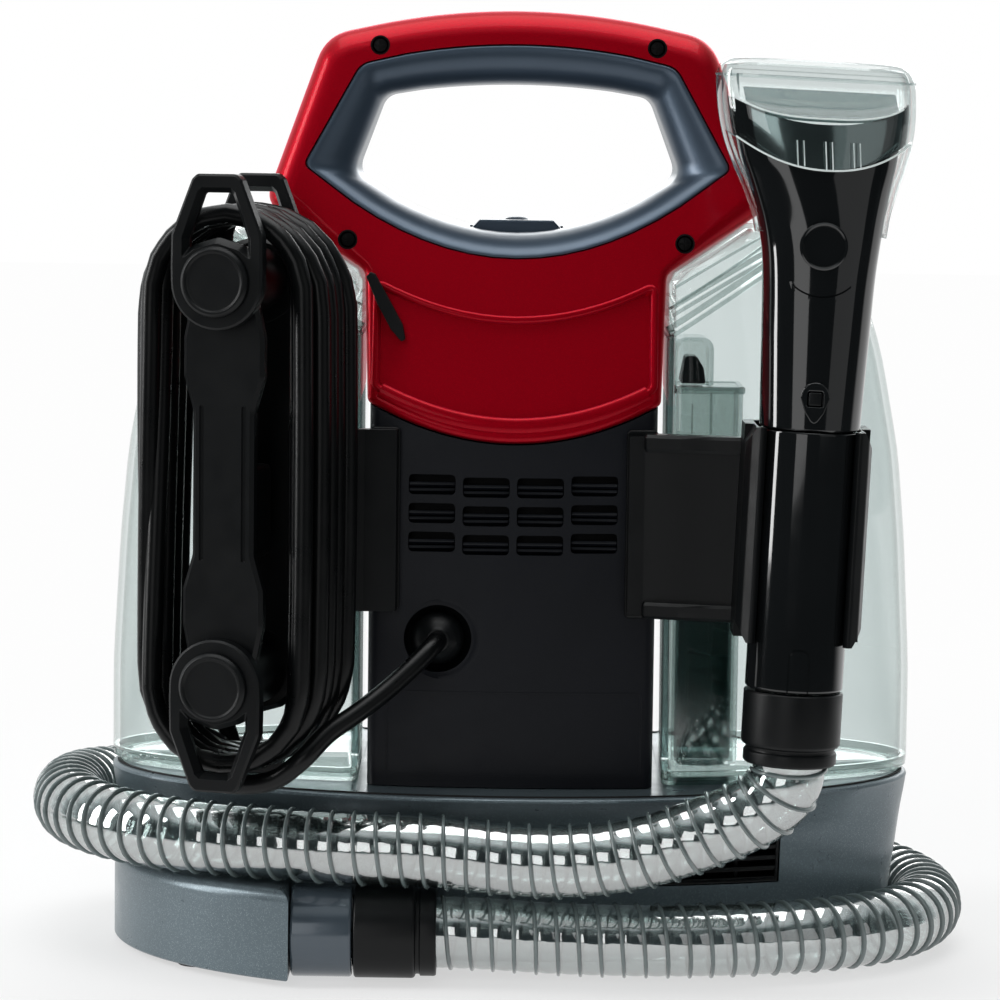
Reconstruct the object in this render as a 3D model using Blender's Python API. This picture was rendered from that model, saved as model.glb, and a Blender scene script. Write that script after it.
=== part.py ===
"""Portable spot-cleaning machine: base, column, carry handle, two tanks, cord winder, hose, hand tool.

Shapes are drawn in millimetres about the centre of the base, +Z up, floor at z = 0.
The rear, with the cord winder and the hand tool, faces -Y; the clean tank is on the -X side.
Parts are written in metres, and the last step centres the overall box on the origin.
"""
import math

import bmesh
import bpy
from mathutils import Matrix, Vector

MM = 0.001

# ---- driving dimensions (millimetres) ----
HEIGHT = 340.0                  # top of the carry handle
GAP = 0.4                       # clearance between neighbouring parts
BASE_TOP = 66.0                 # deck of the base
BASE_HALF_X, BASE_HALF_Y = 146.0, 80.0    # base rim
BASE_WALL = 2.6
BASE_FLOOR = 2.4                # bottom edge of the base housing
LOBE_HALF_Y = 105.0             # port lobe at the rear left of the base
LOBE_TOP = 34.0
LOBE_FACE_X = -76.0             # flat side face of the port lobe
COLUMN_X = 50.5                 # half width of the column
COLUMN_HALF_Y = 60.0            # half depth of the column ellipse
COLUMN_ELLIPSE_X = 146.0        # half width of the column ellipse
COLUMN_CORNER = 4.0
COLUMN_WALL = 2.5
TANK_INNER_X = 54.0             # inner face of the tanks
TANK_BOTTOM = 66.5
TANK_WALL = 2.4
UNDER_SLOPE = 0.65              # rise of the handle's underside per mm outwards
SHELL_HALF_Y = 61.0             # half depth of the red shell at its lowest point
SHELL_BOTTOM = 188.0
SHELL_TAPER = 0.26              # half depth lost per mm of height
SHELL_WALL = 2.5
PORT_Y, PORT_Z, PORT_RADIUS = -73.0, 17.5, 16.2
DUCT_X = 70.0                   # where the suction duct meets the dirty tank
CAP_X = 100.0                   # clean tank cap and water tube, on the -X side

# ---- scene and directions ----
for old in list(bpy.data.objects):
    bpy.data.objects.remove(old, do_unlink=True)

# rotations that turn +Z to another axis
TO_REAR = Matrix.Rotation(math.pi / 2, 4, "X")
TO_FRONT = Matrix.Rotation(-math.pi / 2, 4, "X")
TO_RIGHT = Matrix.Rotation(math.pi / 2, 4, "Y")


def at(x, y, z):
    return Matrix.Translation((x, y, z))


# ---- materials ----
def material(name, colour, roughness, metallic=0.0, alpha=1.0):
    mat = bpy.data.materials.get(name) or bpy.data.materials.new(name)
    mat.use_nodes = True
    inputs = mat.node_tree.nodes["Principled BSDF"].inputs
    inputs["Base Color"].default_value = (*colour, 1.0)
    inputs["Roughness"].default_value = roughness
    inputs["Metallic"].default_value = metallic
    inputs["Alpha"].default_value = alpha
    mat.diffuse_color = (*colour, alpha)
    return mat


RED = material("candy_red_metallic", colour=(0.55, 0.005, 0.02), roughness=0.25, metallic=0.6)
DARK = material("blue_black_plastic", colour=(0.03, 0.033, 0.042), roughness=0.4)
SLATE = material("slate_soft_plastic", colour=(0.12, 0.14, 0.17), roughness=0.45)
GREY = material("fleck_grey_plastic", colour=(0.2, 0.23, 0.26), roughness=0.4, metallic=0.4)
BLACK = material("black_plastic", colour=(0.015, 0.018, 0.018), roughness=0.4)
GLOSS = material("gloss_black_plastic", colour=(0.01, 0.012, 0.012), roughness=0.12)
CLEAR = material("smoky_clear_plastic", colour=(0.7, 0.75, 0.73), roughness=0.1, alpha=0.35)
STEEL = material("steel", colour=(0.5, 0.5, 0.5), roughness=0.3, metallic=1.0)
WHITE = material("white_plastic", colour=(0.75, 0.75, 0.73), roughness=0.5)
RUBBER = material("rubber", colour=(0.03, 0.03, 0.03), roughness=0.8)


# ---- mesh helpers ----
def add_part(name, bm, mat, pivot=(0, 0, 0)):
    """Turn the faces outwards, put the origin on pivot (mm) and add the part to the scene."""
    bmesh.ops.remove_doubles(bm, verts=bm.verts, dist=1e-4)
    bmesh.ops.recalc_face_normals(bm, faces=bm.faces)
    mesh = bpy.data.meshes.new(name)
    pivot = Vector(pivot)
    for v in bm.verts:
        v.co = (v.co - pivot) * MM
    bm.to_mesh(mesh)
    bm.free()
    mesh.materials.append(mat)
    mesh.shade_smooth()
    mesh.set_sharp_from_angle(angle=math.radians(32.0))
    part = bpy.data.objects.new(name, mesh)
    part.location = pivot * MM
    bpy.context.scene.collection.objects.link(part)


def boolean(body, tools, operation):
    """Boolean of body with each tool in turn; frees its inputs and returns a new mesh."""
    def temporary(bm, name):
        bmesh.ops.recalc_face_normals(bm, faces=bm.faces)
        mesh = bpy.data.meshes.new(name)
        bm.to_mesh(mesh)
        bm.free()
        holder = bpy.data.objects.new(name, mesh)
        bpy.context.scene.collection.objects.link(holder)
        return holder

    base = temporary(body, "tmp_body")
    for tool_bm in tools:
        tool = temporary(tool_bm, "tmp_tool")
        modifier = base.modifiers.new("b", "BOOLEAN")
        modifier.operation = operation
        modifier.solver = "EXACT"
        modifier.object = tool
        bpy.context.view_layer.update()
        depsgraph = bpy.context.evaluated_depsgraph_get()
        mesh = bpy.data.meshes.new_from_object(base.evaluated_get(depsgraph))
        base.modifiers.clear()
        base.data = mesh
        bpy.data.objects.remove(tool, do_unlink=True)
    out = bmesh.new()
    out.from_mesh(base.data)
    bpy.data.objects.remove(base, do_unlink=True)
    bmesh.ops.dissolve_limit(out, angle_limit=math.radians(0.3), verts=out.verts, edges=out.edges)
    return out


def cut(body, *tools):
    return boolean(body, tools, "DIFFERENCE")


def fuse(body, *tools):
    return boolean(body, tools, "UNION")


def moved(bm, matrix):
    bmesh.ops.transform(bm, matrix=matrix, verts=bm.verts)
    return bm


def gather(bms):
    """Put several meshes in one, without merging them."""
    out = bmesh.new()
    for bm in bms:
        mesh = bpy.data.meshes.new("gathered")
        bm.to_mesh(mesh)
        bm.free()
        out.from_mesh(mesh)
        bpy.data.meshes.remove(mesh)
    return out


def skin(rings, loop=False):
    """Open skin through equal-length closed rings; loop joins the last ring to the first."""
    bm = bmesh.new()
    rows = [[bm.verts.new(p) for p in ring] for ring in rings]
    count = len(rows[0])
    for lower, upper in zip(rows, rows[1:] + rows[:1] if loop else rows[1:]):
        for i in range(count):
            j = (i + 1) % count
            bm.faces.new((lower[i], lower[j], upper[j], upper[i]))
    return bm, rows


def loft(rings, loop=False):
    """Solid through closed rings: capped at both ends, or joined in a loop."""
    bm, rows = skin(rings, loop)
    if not loop:
        bm.faces.new(list(reversed(rows[0])))
        bm.faces.new(rows[-1])
    return bm


def band_loft(rings):
    """Loft of rings that run out along one side and back along the other, capped in strips."""
    bm, rows = skin(rings)
    count = len(rows[0])
    for row in (rows[0], rows[-1]):
        for i in range(count // 2 - 1):
            bm.faces.new((row[i], row[i + 1], row[count - 2 - i], row[count - 1 - i]))
    return bm


def prism(polygon, low, high, plane="XY"):
    """Extrude a 2-D polygon. Plane XY: along Z, XZ: along Y, YZ: along X."""
    place = {"XY": lambda p, h: (p[0], p[1], h),
             "XZ": lambda p, h: (p[0], h, p[1]),
             "YZ": lambda p, h: (h, p[0], p[1])}[plane]
    return loft([[place(p, h) for p in polygon] for h in (low, high)])


def block(x_span, y_span, z_span, chamfer=0.0):
    """Box from (low, high) spans."""
    (x0, x1), (y0, y1) = x_span, y_span
    bm = prism([(x0, y0), (x1, y0), (x1, y1), (x0, y1)], *z_span)
    if chamfer:
        bmesh.ops.bevel(bm, geom=list(bm.edges), offset=chamfer, segments=1, profile=0.5,
                        affect="EDGES")
    return bm


def lathe(profile, segments=24):
    """Turn (radius, height) points about Z.

    A profile starts and ends on the axis, or stays clear of it and is closed into a ring.
    """
    bm = bmesh.new()
    rows = []
    for radius, z in profile:
        if radius == 0:
            rows.append([bm.verts.new((0, 0, z))])
            continue
        angles = [2 * math.pi * k / segments for k in range(segments)]
        rows.append([bm.verts.new((radius * math.cos(t), radius * math.sin(t), z))
                     for t in angles])
    pairs = list(zip(rows[:-1], rows[1:]))
    if profile[0][0] > 0:
        pairs.append((rows[-1], rows[0]))
    for lower, upper in pairs:
        for k in range(segments):
            j = (k + 1) % segments
            if len(lower) == 1:
                bm.faces.new((lower[0], upper[k], upper[j]))
            elif len(upper) == 1:
                bm.faces.new((lower[k], lower[j], upper[0]))
            else:
                bm.faces.new((lower[k], lower[j], upper[j], upper[k]))
    return bm


def cylinder(radius, low, high, segments=24):
    return lathe([(0, low), (radius, low), (radius, high), (0, high)], segments)


# ---- curve and outline helpers ----
def spline(points, steps):
    """Centripetal curve through 3-D points, steps segments for each span."""
    def blend(p, q, t, start, end):
        return p * ((end - t) / (end - start)) + q * ((t - start) / (end - start))

    pts = [Vector(p) for p in points]
    pts = [2 * pts[0] - pts[1]] + pts + [2 * pts[-1] - pts[-2]]
    curve = []
    for i in range(1, len(pts) - 2):
        near = pts[i - 1:i + 3]
        knots = [0.0]
        for p, q in zip(near, near[1:]):
            knots.append(knots[-1] + (q - p).length ** 0.5)
        for k in range(steps):
            t = knots[1] + (knots[2] - knots[1]) * k / steps
            first, middle, last = [blend(near[m], near[m + 1], t, knots[m], knots[m + 1])
                                   for m in range(3)]
            left = blend(first, middle, t, knots[0], knots[2])
            right = blend(middle, last, t, knots[1], knots[3])
            curve.append(blend(left, right, t, knots[1], knots[2]))
    curve.append(pts[-2])
    return curve


def even_path(points, steps, count):
    """Spline through points, divided into count equal lengths."""
    pts = spline(points, steps)
    lengths = [0.0]
    for p, q in zip(pts[:-1], pts[1:]):
        lengths.append(lengths[-1] + (q - p).length)
    out, i = [], 0
    for k in range(count + 1):
        target = lengths[-1] * k / count
        while i < len(lengths) - 2 and lengths[i + 1] < target:
            i += 1
        part = (target - lengths[i]) / max(lengths[i + 1] - lengths[i], 1e-9)
        out.append(pts[i].lerp(pts[i + 1], min(max(part, 0.0), 1.0)))
    return out


def tube(path, radius, segments, bore=0.0):
    """Round bar along a path, or a pipe if it has a bore; the section turns as little as it can."""
    last = len(path) - 1
    tangents = [(path[min(i + 1, last)] - path[max(i - 1, 0)]).normalized()
                for i in range(last + 1)]
    normal = tangents[0].orthogonal().normalized()
    sides = []
    for tangent in tangents:
        normal = (normal - tangent * normal.dot(tangent)).normalized()
        sides.append((normal, tangent.cross(normal)))

    def ring(i, r):
        u, v = sides[i]
        angles = [2 * math.pi * k / segments for k in range(segments)]
        return [path[i] + u * (r * math.cos(t)) + v * (r * math.sin(t)) for t in angles]

    rings = [ring(i, radius) for i in range(last + 1)]
    if bore:
        rings += [ring(i, bore) for i in reversed(range(last + 1))]
    return loft(rings, loop=bool(bore))


def mirrored(points):
    """Mirror 2-D points across the second axis, in reverse order."""
    return [(-x, y) for x, y in reversed(points)]


def corner_triples(points):
    count = len(points)
    return [(Vector(points[i - 1]), Vector(points[i]), Vector(points[(i + 1) % count]))
            for i in range(count)]


def offset_polygon(points, inset):
    """Mitred inward offset of an anticlockwise polygon."""
    out = []
    for before, here, after in corner_triples(points):
        edge_in, edge_out = (here - before).normalized(), (after - here).normalized()
        normal_in = Vector((-edge_in.y, edge_in.x))
        normal_out = Vector((-edge_out.y, edge_out.x))
        mitre = (normal_in + normal_out) / max(1.0 + normal_in.dot(normal_out), 0.2)
        out.append(tuple(here + mitre * inset))
    return out


def round_polygon(points, radii, segments=2):
    """Round each corner by its own radius; None leaves the corner as it is."""
    out = []
    for (before, here, after), radius in zip(corner_triples(points), radii):
        if radius is None:
            out.append(tuple(here))
            continue
        back, ahead = (before - here).normalized(), (after - here).normalized()
        reach = radius / math.tan(back.angle(ahead) / 2)
        reach = min(reach, 0.49 * (before - here).length, 0.49 * (after - here).length)
        start, end = here + back * reach, here + ahead * reach
        for k in range(segments + 1):
            s = k / segments
            out.append(tuple(start * (1 - s) ** 2 + here * (2 * s * (1 - s)) + end * s * s))
    return out


# ---- base ----
# z, half width, half depth
BASE_LEVELS = [
    (BASE_FLOOR, 137.5, 53.0), (16, 139.5, 54.0), (28, 141.0, 56.5), (40, 142.5, 61.0),
    (52, 144.0, 66.0), (60, 145.4, 73.0), (64.6, BASE_HALF_X, BASE_HALF_Y),
    (BASE_TOP, BASE_HALF_X - 1.2, BASE_HALF_Y - 1.2)]
# ring height, height at which the hull is measured for it
CAVITY_LEVELS = [(1.0, BASE_FLOOR), (16, 16), (28, 28), (40, 40), (52, 52), (60, 60), (63.0, 60)]
PLATE_LOW, PLATE_HIGH = 2.7, 5.2
FEET = [(-110, -50), (95, -25), (95, 25), (-100, 28)]
FOOT_PROFILE = [(0, 0), (7, 0), (8, 0.8), (8, 2.3), (0, 2.3)]
GRILLE_X, GRILLE_Z = (51.5, 96.5), (31.0, 49.0)
GRILLE_CLEARANCE = 0.5
GRILLE_SLOT_XS = (54.0, 68.5, 83.0)
GRILLE_SLOT_WIDTH, GRILLE_SLOT_HEIGHT = 11.5, 2.0
GRILLE_SLOT_Z, GRILLE_SLOT_PITCH = 32.6, 4.0
GRILLE_OUTER, GRILLE_INNER = 0.6, 3.0     # depth of the grille's faces behind the hull


def base_half_sizes(z, inset=0.0):
    for (z0, x0, y0), (z1, x1, y1) in zip(BASE_LEVELS[:-1], BASE_LEVELS[1:]):
        if z <= z1:
            part = (z - z0) / (z1 - z0)
            return x0 + (x1 - x0) * part - inset, y0 + (y1 - y0) * part - inset


def ellipse(half_x, half_y, z, segments=40):
    angles = [2 * math.pi * k / segments for k in range(segments)]
    return [(half_x * math.cos(t), half_y * math.sin(t), z) for t in angles]


def lobe_outline(inset=0.0, segments=9):
    """Plan of the port lobe, anticlockwise."""
    half_x, half_y = BASE_HALF_X - 1.0 - inset, LOBE_HALF_Y - inset
    face_x = LOBE_FACE_X - inset
    sweep = math.acos(-face_x / half_x)
    angles = [sweep * k / segments for k in range(segments + 1)]
    arc = [(-half_x * math.cos(t), -half_y * math.sin(t)) for t in angles]
    return arc + [(face_x, -20.0), (-100.0, 20.0), (-128.0 + inset, 26.0 - inset),
                  (-141.0 + inset, 13.0)]


def lobe(inset, bottom, top, chamfer):
    levels = [(bottom, 0.0), (top - chamfer, 0.0), (top - 0.3 * chamfer, 0.3 * chamfer),
              (top, chamfer)]
    return loft([[(x, y, z) for x, y in lobe_outline(inset + extra)] for z, extra in levels])


def base_housing():
    outer = fuse(loft([ellipse(half_x, half_y, z) for z, half_x, half_y in BASE_LEVELS]),
                 lobe(0.0, BASE_FLOOR, LOBE_TOP, 3.5))
    cavity = fuse(loft([ellipse(*base_half_sizes(hull_z, BASE_WALL), z)
                        for z, hull_z in CAVITY_LEVELS]),
                  lobe(BASE_WALL, 1.0, LOBE_TOP - BASE_WALL, 1.0))
    port_hole = moved(cylinder(11.8, -80.5, -60), at(0, PORT_Y, PORT_Z) @ TO_RIGHT)
    grille_window = block((GRILLE_X[0] - GRILLE_CLEARANCE, GRILLE_X[1] + GRILLE_CLEARANCE),
                          (-90, -30),
                          (GRILLE_Z[0] - GRILLE_CLEARANCE, GRILLE_Z[1] + GRILLE_CLEARANCE))
    body = cut(outer, cavity, port_hole, grille_window)
    # openings through the deck for the suction duct and the water tube
    return cut(body, moved(cylinder(9.6, 55, 80, 20), at(DUCT_X, 0, 0)),
               moved(cylinder(6, 55, 80, 16), at(-CAP_X, 0, 0)))


def base_plate():
    oval = [(x, y) for x, y, _ in ellipse(*base_half_sizes(4, 3.1), 0)]
    return fuse(prism(oval, PLATE_LOW, PLATE_HIGH),
                prism(lobe_outline(3.2, 8), PLATE_LOW, PLATE_HIGH))


def hull_row(z, depth, steps=6):
    """Points across the grille at height z, at a depth behind the rear of the hull."""
    half_x, half_y = base_half_sizes(z)
    x0, x1 = GRILLE_X
    xs = [x0 + (x1 - x0) * i / steps for i in range(steps + 1)]
    return [(x, -(half_y * math.sqrt(1 - (x / half_x) ** 2)) + depth, z) for x in xs]


def exhaust_grille(rows=3):
    z0, z1 = GRILLE_Z
    levels = [z0 + (z1 - z0) * j / rows for j in range(rows + 1)]
    panel = loft([hull_row(z, GRILLE_OUTER) + hull_row(z, GRILLE_INNER)[::-1] for z in levels])
    slots = []
    for k in range(4):
        z = GRILLE_SLOT_Z + GRILLE_SLOT_PITCH * k
        slots += [block((x, x + GRILLE_SLOT_WIDTH), (-90, -30), (z, z + GRILLE_SLOT_HEIGHT))
                  for x in GRILLE_SLOT_XS]
    return cut(panel, gather(slots))


add_part("base_housing", base_housing(), GREY)
add_part("base_plate", base_plate(), BLACK)
for i, (x, y) in enumerate(FEET):
    add_part("foot_%d" % (i + 1), moved(lathe(FOOT_PROFILE, 16), at(x, y, 0)), RUBBER, (x, y, 0))
add_part("exhaust_grille", exhaust_grille(), BLACK)

# ---- column covers ----
ARCH_XS = (-39, -26, -13, 0, 13, 26, 39)
SHELL_ARCH = 0.0053                       # the shell's bottom edge rises by this times x squared
ARCH_END_X, ARCH_END_Z = 39, 196.06
SHELL_FOOT_X, SHELL_FOOT_Z = 51.5, 202.0  # lower corner of the red shell
SLOT_XS = (-28.4, -9.4, 9.6, 28.6)
SLOT_ROWS = (173.5, 163.4, 153.3)
SLOT_HALF_X, SLOT_HALF_Z = 8.2, 3.55
SLOT_SAG = 0.96                           # drop of a row of slots at the middle
GROMMET_X, GROMMET_Z = -25.9, 119.0
GROMMET_PROFILE = [(0, 49.5), (14.5, 49.5), (14.5, 52.0), (9.2, 52.4), (9.2, 56.0), (8.4, 60.0),
                   (5.5, 63.4), (0, 64.4)]


def column_y(x):
    return -COLUMN_HALF_Y * math.sqrt(1 - (x / COLUMN_ELLIPSE_X) ** 2)


def column_ring(side, height_at):
    """U-shaped section of the column half on one side of y = 0; height_at gives z at x."""
    corner = COLUMN_CORNER
    edge_y = column_y(COLUMN_X)
    bend_y = column_y(COLUMN_X - corner)
    inner_x = -COLUMN_X + COLUMN_WALL
    outer_corner = [(-COLUMN_X, -0.2), (-COLUMN_X, edge_y + corner),
                    (-COLUMN_X + corner * 0.3, edge_y + corner * 0.3),
                    (-COLUMN_X + corner, bend_y)]
    inner_corner = [(inner_x, -0.2), (inner_x, edge_y + corner + 1.5),
                    (inner_x, edge_y + corner * 0.3 + COLUMN_WALL),
                    (-COLUMN_X + corner + 0.8, bend_y + COLUMN_WALL)]
    outer_face = [(x, column_y(x)) for x in ARCH_XS]
    inner_face = [(x, y + COLUMN_WALL) for x, y in outer_face]
    outer = outer_corner + outer_face + mirrored(outer_corner)
    inner = inner_corner + inner_face + mirrored(inner_corner)
    return [(x, -side * y, height_at(x)) for x, y in outer + inner[::-1]]


def column_top(x):
    """Top edge, one gap below the red shell."""
    x = abs(x)
    if x < ARCH_END_X + 0.01:
        return SHELL_BOTTOM + SHELL_ARCH * x * x - GAP
    slope = (SHELL_FOOT_Z - ARCH_END_Z) / (SHELL_FOOT_X - ARCH_END_X)
    return ARCH_END_Z + (x - ARCH_END_X) * slope - GAP


def column_cover(side):
    return band_loft([column_ring(side, lambda x: BASE_TOP + GAP), column_ring(side, column_top)])


def rear_cover():
    slots = []
    for row_z in SLOT_ROWS:
        for x in SLOT_XS:
            z = row_z - SLOT_SAG * (1 - (abs(x) / 28.6) ** 2)
            slots.append(block((x - SLOT_HALF_X, x + SLOT_HALF_X), (-75, -45),
                               (z - SLOT_HALF_Z, z + SLOT_HALF_Z)))
    cord_hole = moved(cylinder(11.9, 45, 75), at(GROMMET_X, 0, GROMMET_Z) @ TO_REAR)
    return cut(column_cover(-1), gather(slots), cord_hole)


add_part("rear_cover", rear_cover(), DARK)
add_part("front_cover", column_cover(1), DARK)
add_part("cord_grommet",
         moved(lathe(GROMMET_PROFILE, 20), at(GROMMET_X, 0, GROMMET_Z) @ TO_REAR),
         BLACK, (GROMMET_X, -58, GROMMET_Z))

# ---- carry handle ----
# Outlines in x, z, anticlockwise seen from the rear. Each holds:
# bottom xs, bottom z, bottom curvature, right side corners, top xs, top z, top curvature.
# A side corner is x, z, radius, and the radius change per mm of inset (+1 where it is concave).
SHELL_OUTLINE = (
    ARCH_XS, SHELL_BOTTOM, SHELL_ARCH,
    [(SHELL_FOOT_X, SHELL_FOOT_Z, 3.0, -1), (53.2, 247.4, 5.0, 1),
     (89.5, 271.0, 8.0, -1), (69.0, 330.5, 16.0, -1)],
    (50, 34, 17, 0, -17, -34, -50), HEIGHT, 0.0021)
LINER_OUTLINE = (
    (-58, -38, -19, 0, 19, 38, 58), 252.4, 0.0057,
    [(75.5, 284.4, 3.0, -1), (56.0, 320.2, 8.0, -1)],
    (36, 24, 12, 0, -12, -24, -36), 327.6, 0.0023)
OPENING_OUTLINE = (
    (-42, -28, -14, 0, 14, 28, 42), 261.0, 0.0060,
    [(58.5, 281.5, 7.0, -1), (47.8, 309.6, 7.0, -1)],
    (36, 24, 12, 0, -12, -24, -36), 314.0, 0.0018)
MIN_CORNER = 0.6
SHELL_EDGE = 9.0                # radius of the shell's outer edge
SPLIT_Y = 0.2                   # the two halves stop this far from y = 0
# share of the way from the liner's outline to the opening, depth below the shell's face
# (None: at the split)
LINER_SECTION = [
    (0.0, 3.2), (0.0, 0.5), (0.12, 0.1), (0.4, 2.0), (0.7, 5.5), (0.92, 10.0), (1.0, 14.5),
    (1.0, None), (0.8, None), (0.8, 15.0), (0.6, 8.2), (0.3, 4.2)]
SCREWS = [(-49.3, 327.0), (49.3, 327.0), (-59.5, 258.3), (59.5, 258.3)]
BUTTON_HALF_X, BUTTON_HALF_Y = 16.7, 14.2
BUTTON_SECTION = [(-BUTTON_HALF_X, 256.5), (BUTTON_HALF_X, 256.5), (BUTTON_HALF_X, 262.4),
                  (13.5, 265.2), (-13.5, 265.2), (-BUTTON_HALF_X, 262.4)]
BUTTON_PAD = [(0, 264.9), (7.5, 264.9), (5.5, 266.2), (0, 266.6)]


def arch_outline(shape, inset=0.0):
    bottom_xs, bottom_z, bottom_curve, sides, top_xs, top_z, top_curve = shape
    corners = [(x, bottom_z + bottom_curve * x * x, None) for x in bottom_xs]
    right = [(x, z, max(radius + change * inset, MIN_CORNER)) for x, z, radius, change in sides]
    corners += right
    corners += [(x, top_z - top_curve * x * x, None) for x in top_xs]
    corners += [(-x, z, radius) for x, z, radius in reversed(right)]
    return round_polygon(offset_polygon([c[:2] for c in corners], inset),
                         [c[2] for c in corners])


def shell_depth(z):
    """Half depth of the red shell at height z."""
    return SHELL_HALF_Y - (z - SHELL_BOTTOM) * SHELL_TAPER


def shell_ring(side, inset, depth_at):
    return [(x, side * depth_at(z), z) for x, z in arch_outline(SHELL_OUTLINE, inset)]


def handle_shell(side):
    """Half of the red shell; the rear half (side -1) has the screw bosses."""
    edge = SHELL_EDGE
    outer = [shell_ring(side, 0.0, lambda z: SPLIT_Y),
             shell_ring(side, 0.0, lambda z: shell_depth(z) - edge)]
    for degrees in (30, 60, 90):
        t = math.radians(degrees)
        outer.append(shell_ring(side, edge * (1 - math.cos(t)),
                                lambda z: shell_depth(z) - edge + edge * math.sin(t)))
    inner = [shell_ring(side, SHELL_WALL, lambda z: -1.0),
             shell_ring(side, SHELL_WALL, lambda z: shell_depth(z) - edge),
             shell_ring(side, 5.0, lambda z: shell_depth(z) - 4.6),
             shell_ring(side, 9.0, lambda z: shell_depth(z) - 2.6)]
    body = cut(loft(outer), loft(inner))
    screws = [(x, z, shell_depth(z)) for x, z in SCREWS] if side < 0 else []
    for x, z, face in screws:
        boss = cylinder(5.2, face - 14.0, face - 1.6, 12)
        body = fuse(body, moved(boss, at(x, 0, z) @ TO_REAR))
    body = cut(body, prism(arch_outline(LINER_OUTLINE, -GAP), side * 5.0, side * 90.0, "XZ"))
    for x, z, face in screws:
        bore = lathe([(0, face - 20), (1.9, face - 20), (1.9, face - 5.2), (3.5, face - 5.2),
                      (3.5, face + 20), (0, face + 20)], 12)
        body = cut(body, moved(bore, at(x, 0, z) @ TO_REAR))
    return body


def handle_screw(x, z):
    face = shell_depth(z)
    screw = lathe([(0, face - 13.0), (1.5, face - 13.0), (1.5, face - 4.8), (3.1, face - 4.8),
                   (3.1, face - 2.6), (1.4, face - 2.2), (0, face - 2.9)], 12)
    return moved(screw, at(x, 0, z) @ TO_REAR)


def grip_liner(side):
    outer, inner = arch_outline(LINER_OUTLINE), arch_outline(OPENING_OUTLINE)
    rings = []
    for share, depth in LINER_SECTION:
        ring = []
        for (outer_x, outer_z), (inner_x, inner_z) in zip(outer, inner):
            z = outer_z + (inner_z - outer_z) * share
            y = SPLIT_Y if depth is None else shell_depth(z) - depth
            ring.append((outer_x + (inner_x - outer_x) * share, side * y, z))
        rings.append(ring)
    half_x, half_y = BUTTON_HALF_X + GAP, BUTTON_HALF_Y + GAP
    return cut(loft(rings, loop=True),
               block((-half_x, half_x), (-half_y, half_y), (240, 275)))


add_part("rear_handle_shell", handle_shell(-1), RED)
add_part("front_handle_shell", handle_shell(1), RED)
for i, (x, z) in enumerate(SCREWS):
    add_part("handle_screw_%d" % (i + 1), handle_screw(x, z), BLACK, (x, -shell_depth(z), z))
add_part("rear_grip_liner", grip_liner(-1), SLATE)
add_part("front_grip_liner", grip_liner(1), SLATE)
# button bar with a round pad on top and a plunger below
add_part("power_button",
         fuse(prism(BUTTON_SECTION, -BUTTON_HALF_Y, BUTTON_HALF_Y, "XZ"),
              lathe(BUTTON_PAD, 16), block((-3, 3), (-3, 3), (251.6, 257.0))),
         SLATE, (0, 0, 260))
add_part("power_switch", block((-11, 11), (-8, 8), (226, 248.2), chamfer=1.0), BLACK)

# ---- tanks ----
# z, half width, half depth
TANK_LEVELS = [
    (TANK_BOTTOM, 144.6, 56.0), (70, 146, 57), (104, 146, 57), (151, 143.4, 57),
    (182.5, 140.5, 57), (217, 134, 56.5), (233, 129.5, 55), (248, 121.5, 52), (258, 108, 47),
    (262, 99, 44), (265.6, 90.5, 40)]
TANK_ROOF_Z = 246.8             # sloping roof at the tank's inner face
LID_SPLIT_Z = TANK_ROOF_Z - 20.0
CAP_PROFILE = [(0, 66.7), (13.2, 66.7), (14.0, 67.4), (14.0, 71.5), (11.5, 71.5), (11.5, 69.4),
               (0, 69.4)]
# x, z of the lever at the left edge of the rear shell
LATCH_OUTLINE = [
    (-51.0, 247.5), (-53.2, 244.5), (-49.6, 236.0), (-44.0, 227.0), (-40.2, 223.4),
    (-38.2, 225.2), (-41.5, 230.5), (-46.6, 240.0), (-48.6, 246.6)]
LATCH_LIFT, LATCH_TOP = 0.5, 3.6          # near and far faces of the lever above the shell
LATCH_PIVOT_X, LATCH_PIVOT_Z = -50.6, 244.6


def tank_solid(side, inset, segments=12):
    """Part-ellipse tank body under the handle's sloping underside."""
    rings = []
    for level, (z, half_x, half_y) in enumerate(TANK_LEVELS):
        if level == 0:
            z += inset
        elif level >= len(TANK_LEVELS) - 2:
            z -= inset * 0.9
        half_x -= inset
        half_y -= inset
        roof_x = TANK_INNER_X + (z + inset * 1.19 - TANK_ROOF_Z) / UNDER_SLOPE
        inner_x = min(max(TANK_INNER_X + inset, roof_x), half_x - 1.0)
        sweep = math.acos(inner_x / half_x)
        angles = [-sweep + 2 * sweep * k / segments for k in range(segments + 1)]
        rings.append([(side * half_x * math.cos(t), half_y * math.sin(t), z) for t in angles])
    return loft(rings)


def tank_piece(bm, side, keep_above):
    """Keep one side of a cut parallel to the handle's underside, half a gap clear of it."""
    normal = Vector((-side * UNDER_SLOPE, 0, 1)).normalized()
    shift = GAP / 2 if keep_above else -GAP / 2
    point = Vector((side * TANK_INNER_X, 0, LID_SPLIT_Z)) + normal * shift
    result = bmesh.ops.bisect_plane(
        bm, geom=list(bm.verts) + list(bm.edges) + list(bm.faces), plane_co=point,
        plane_no=normal, clear_outer=not keep_above, clear_inner=keep_above, dist=1e-5)
    edges = [e for e in result["geom_cut"] if isinstance(e, bmesh.types.BMEdge)]
    bmesh.ops.triangle_fill(bm, use_beauty=True, use_dissolve=True, edges=edges, normal=normal)
    return bm


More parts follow.
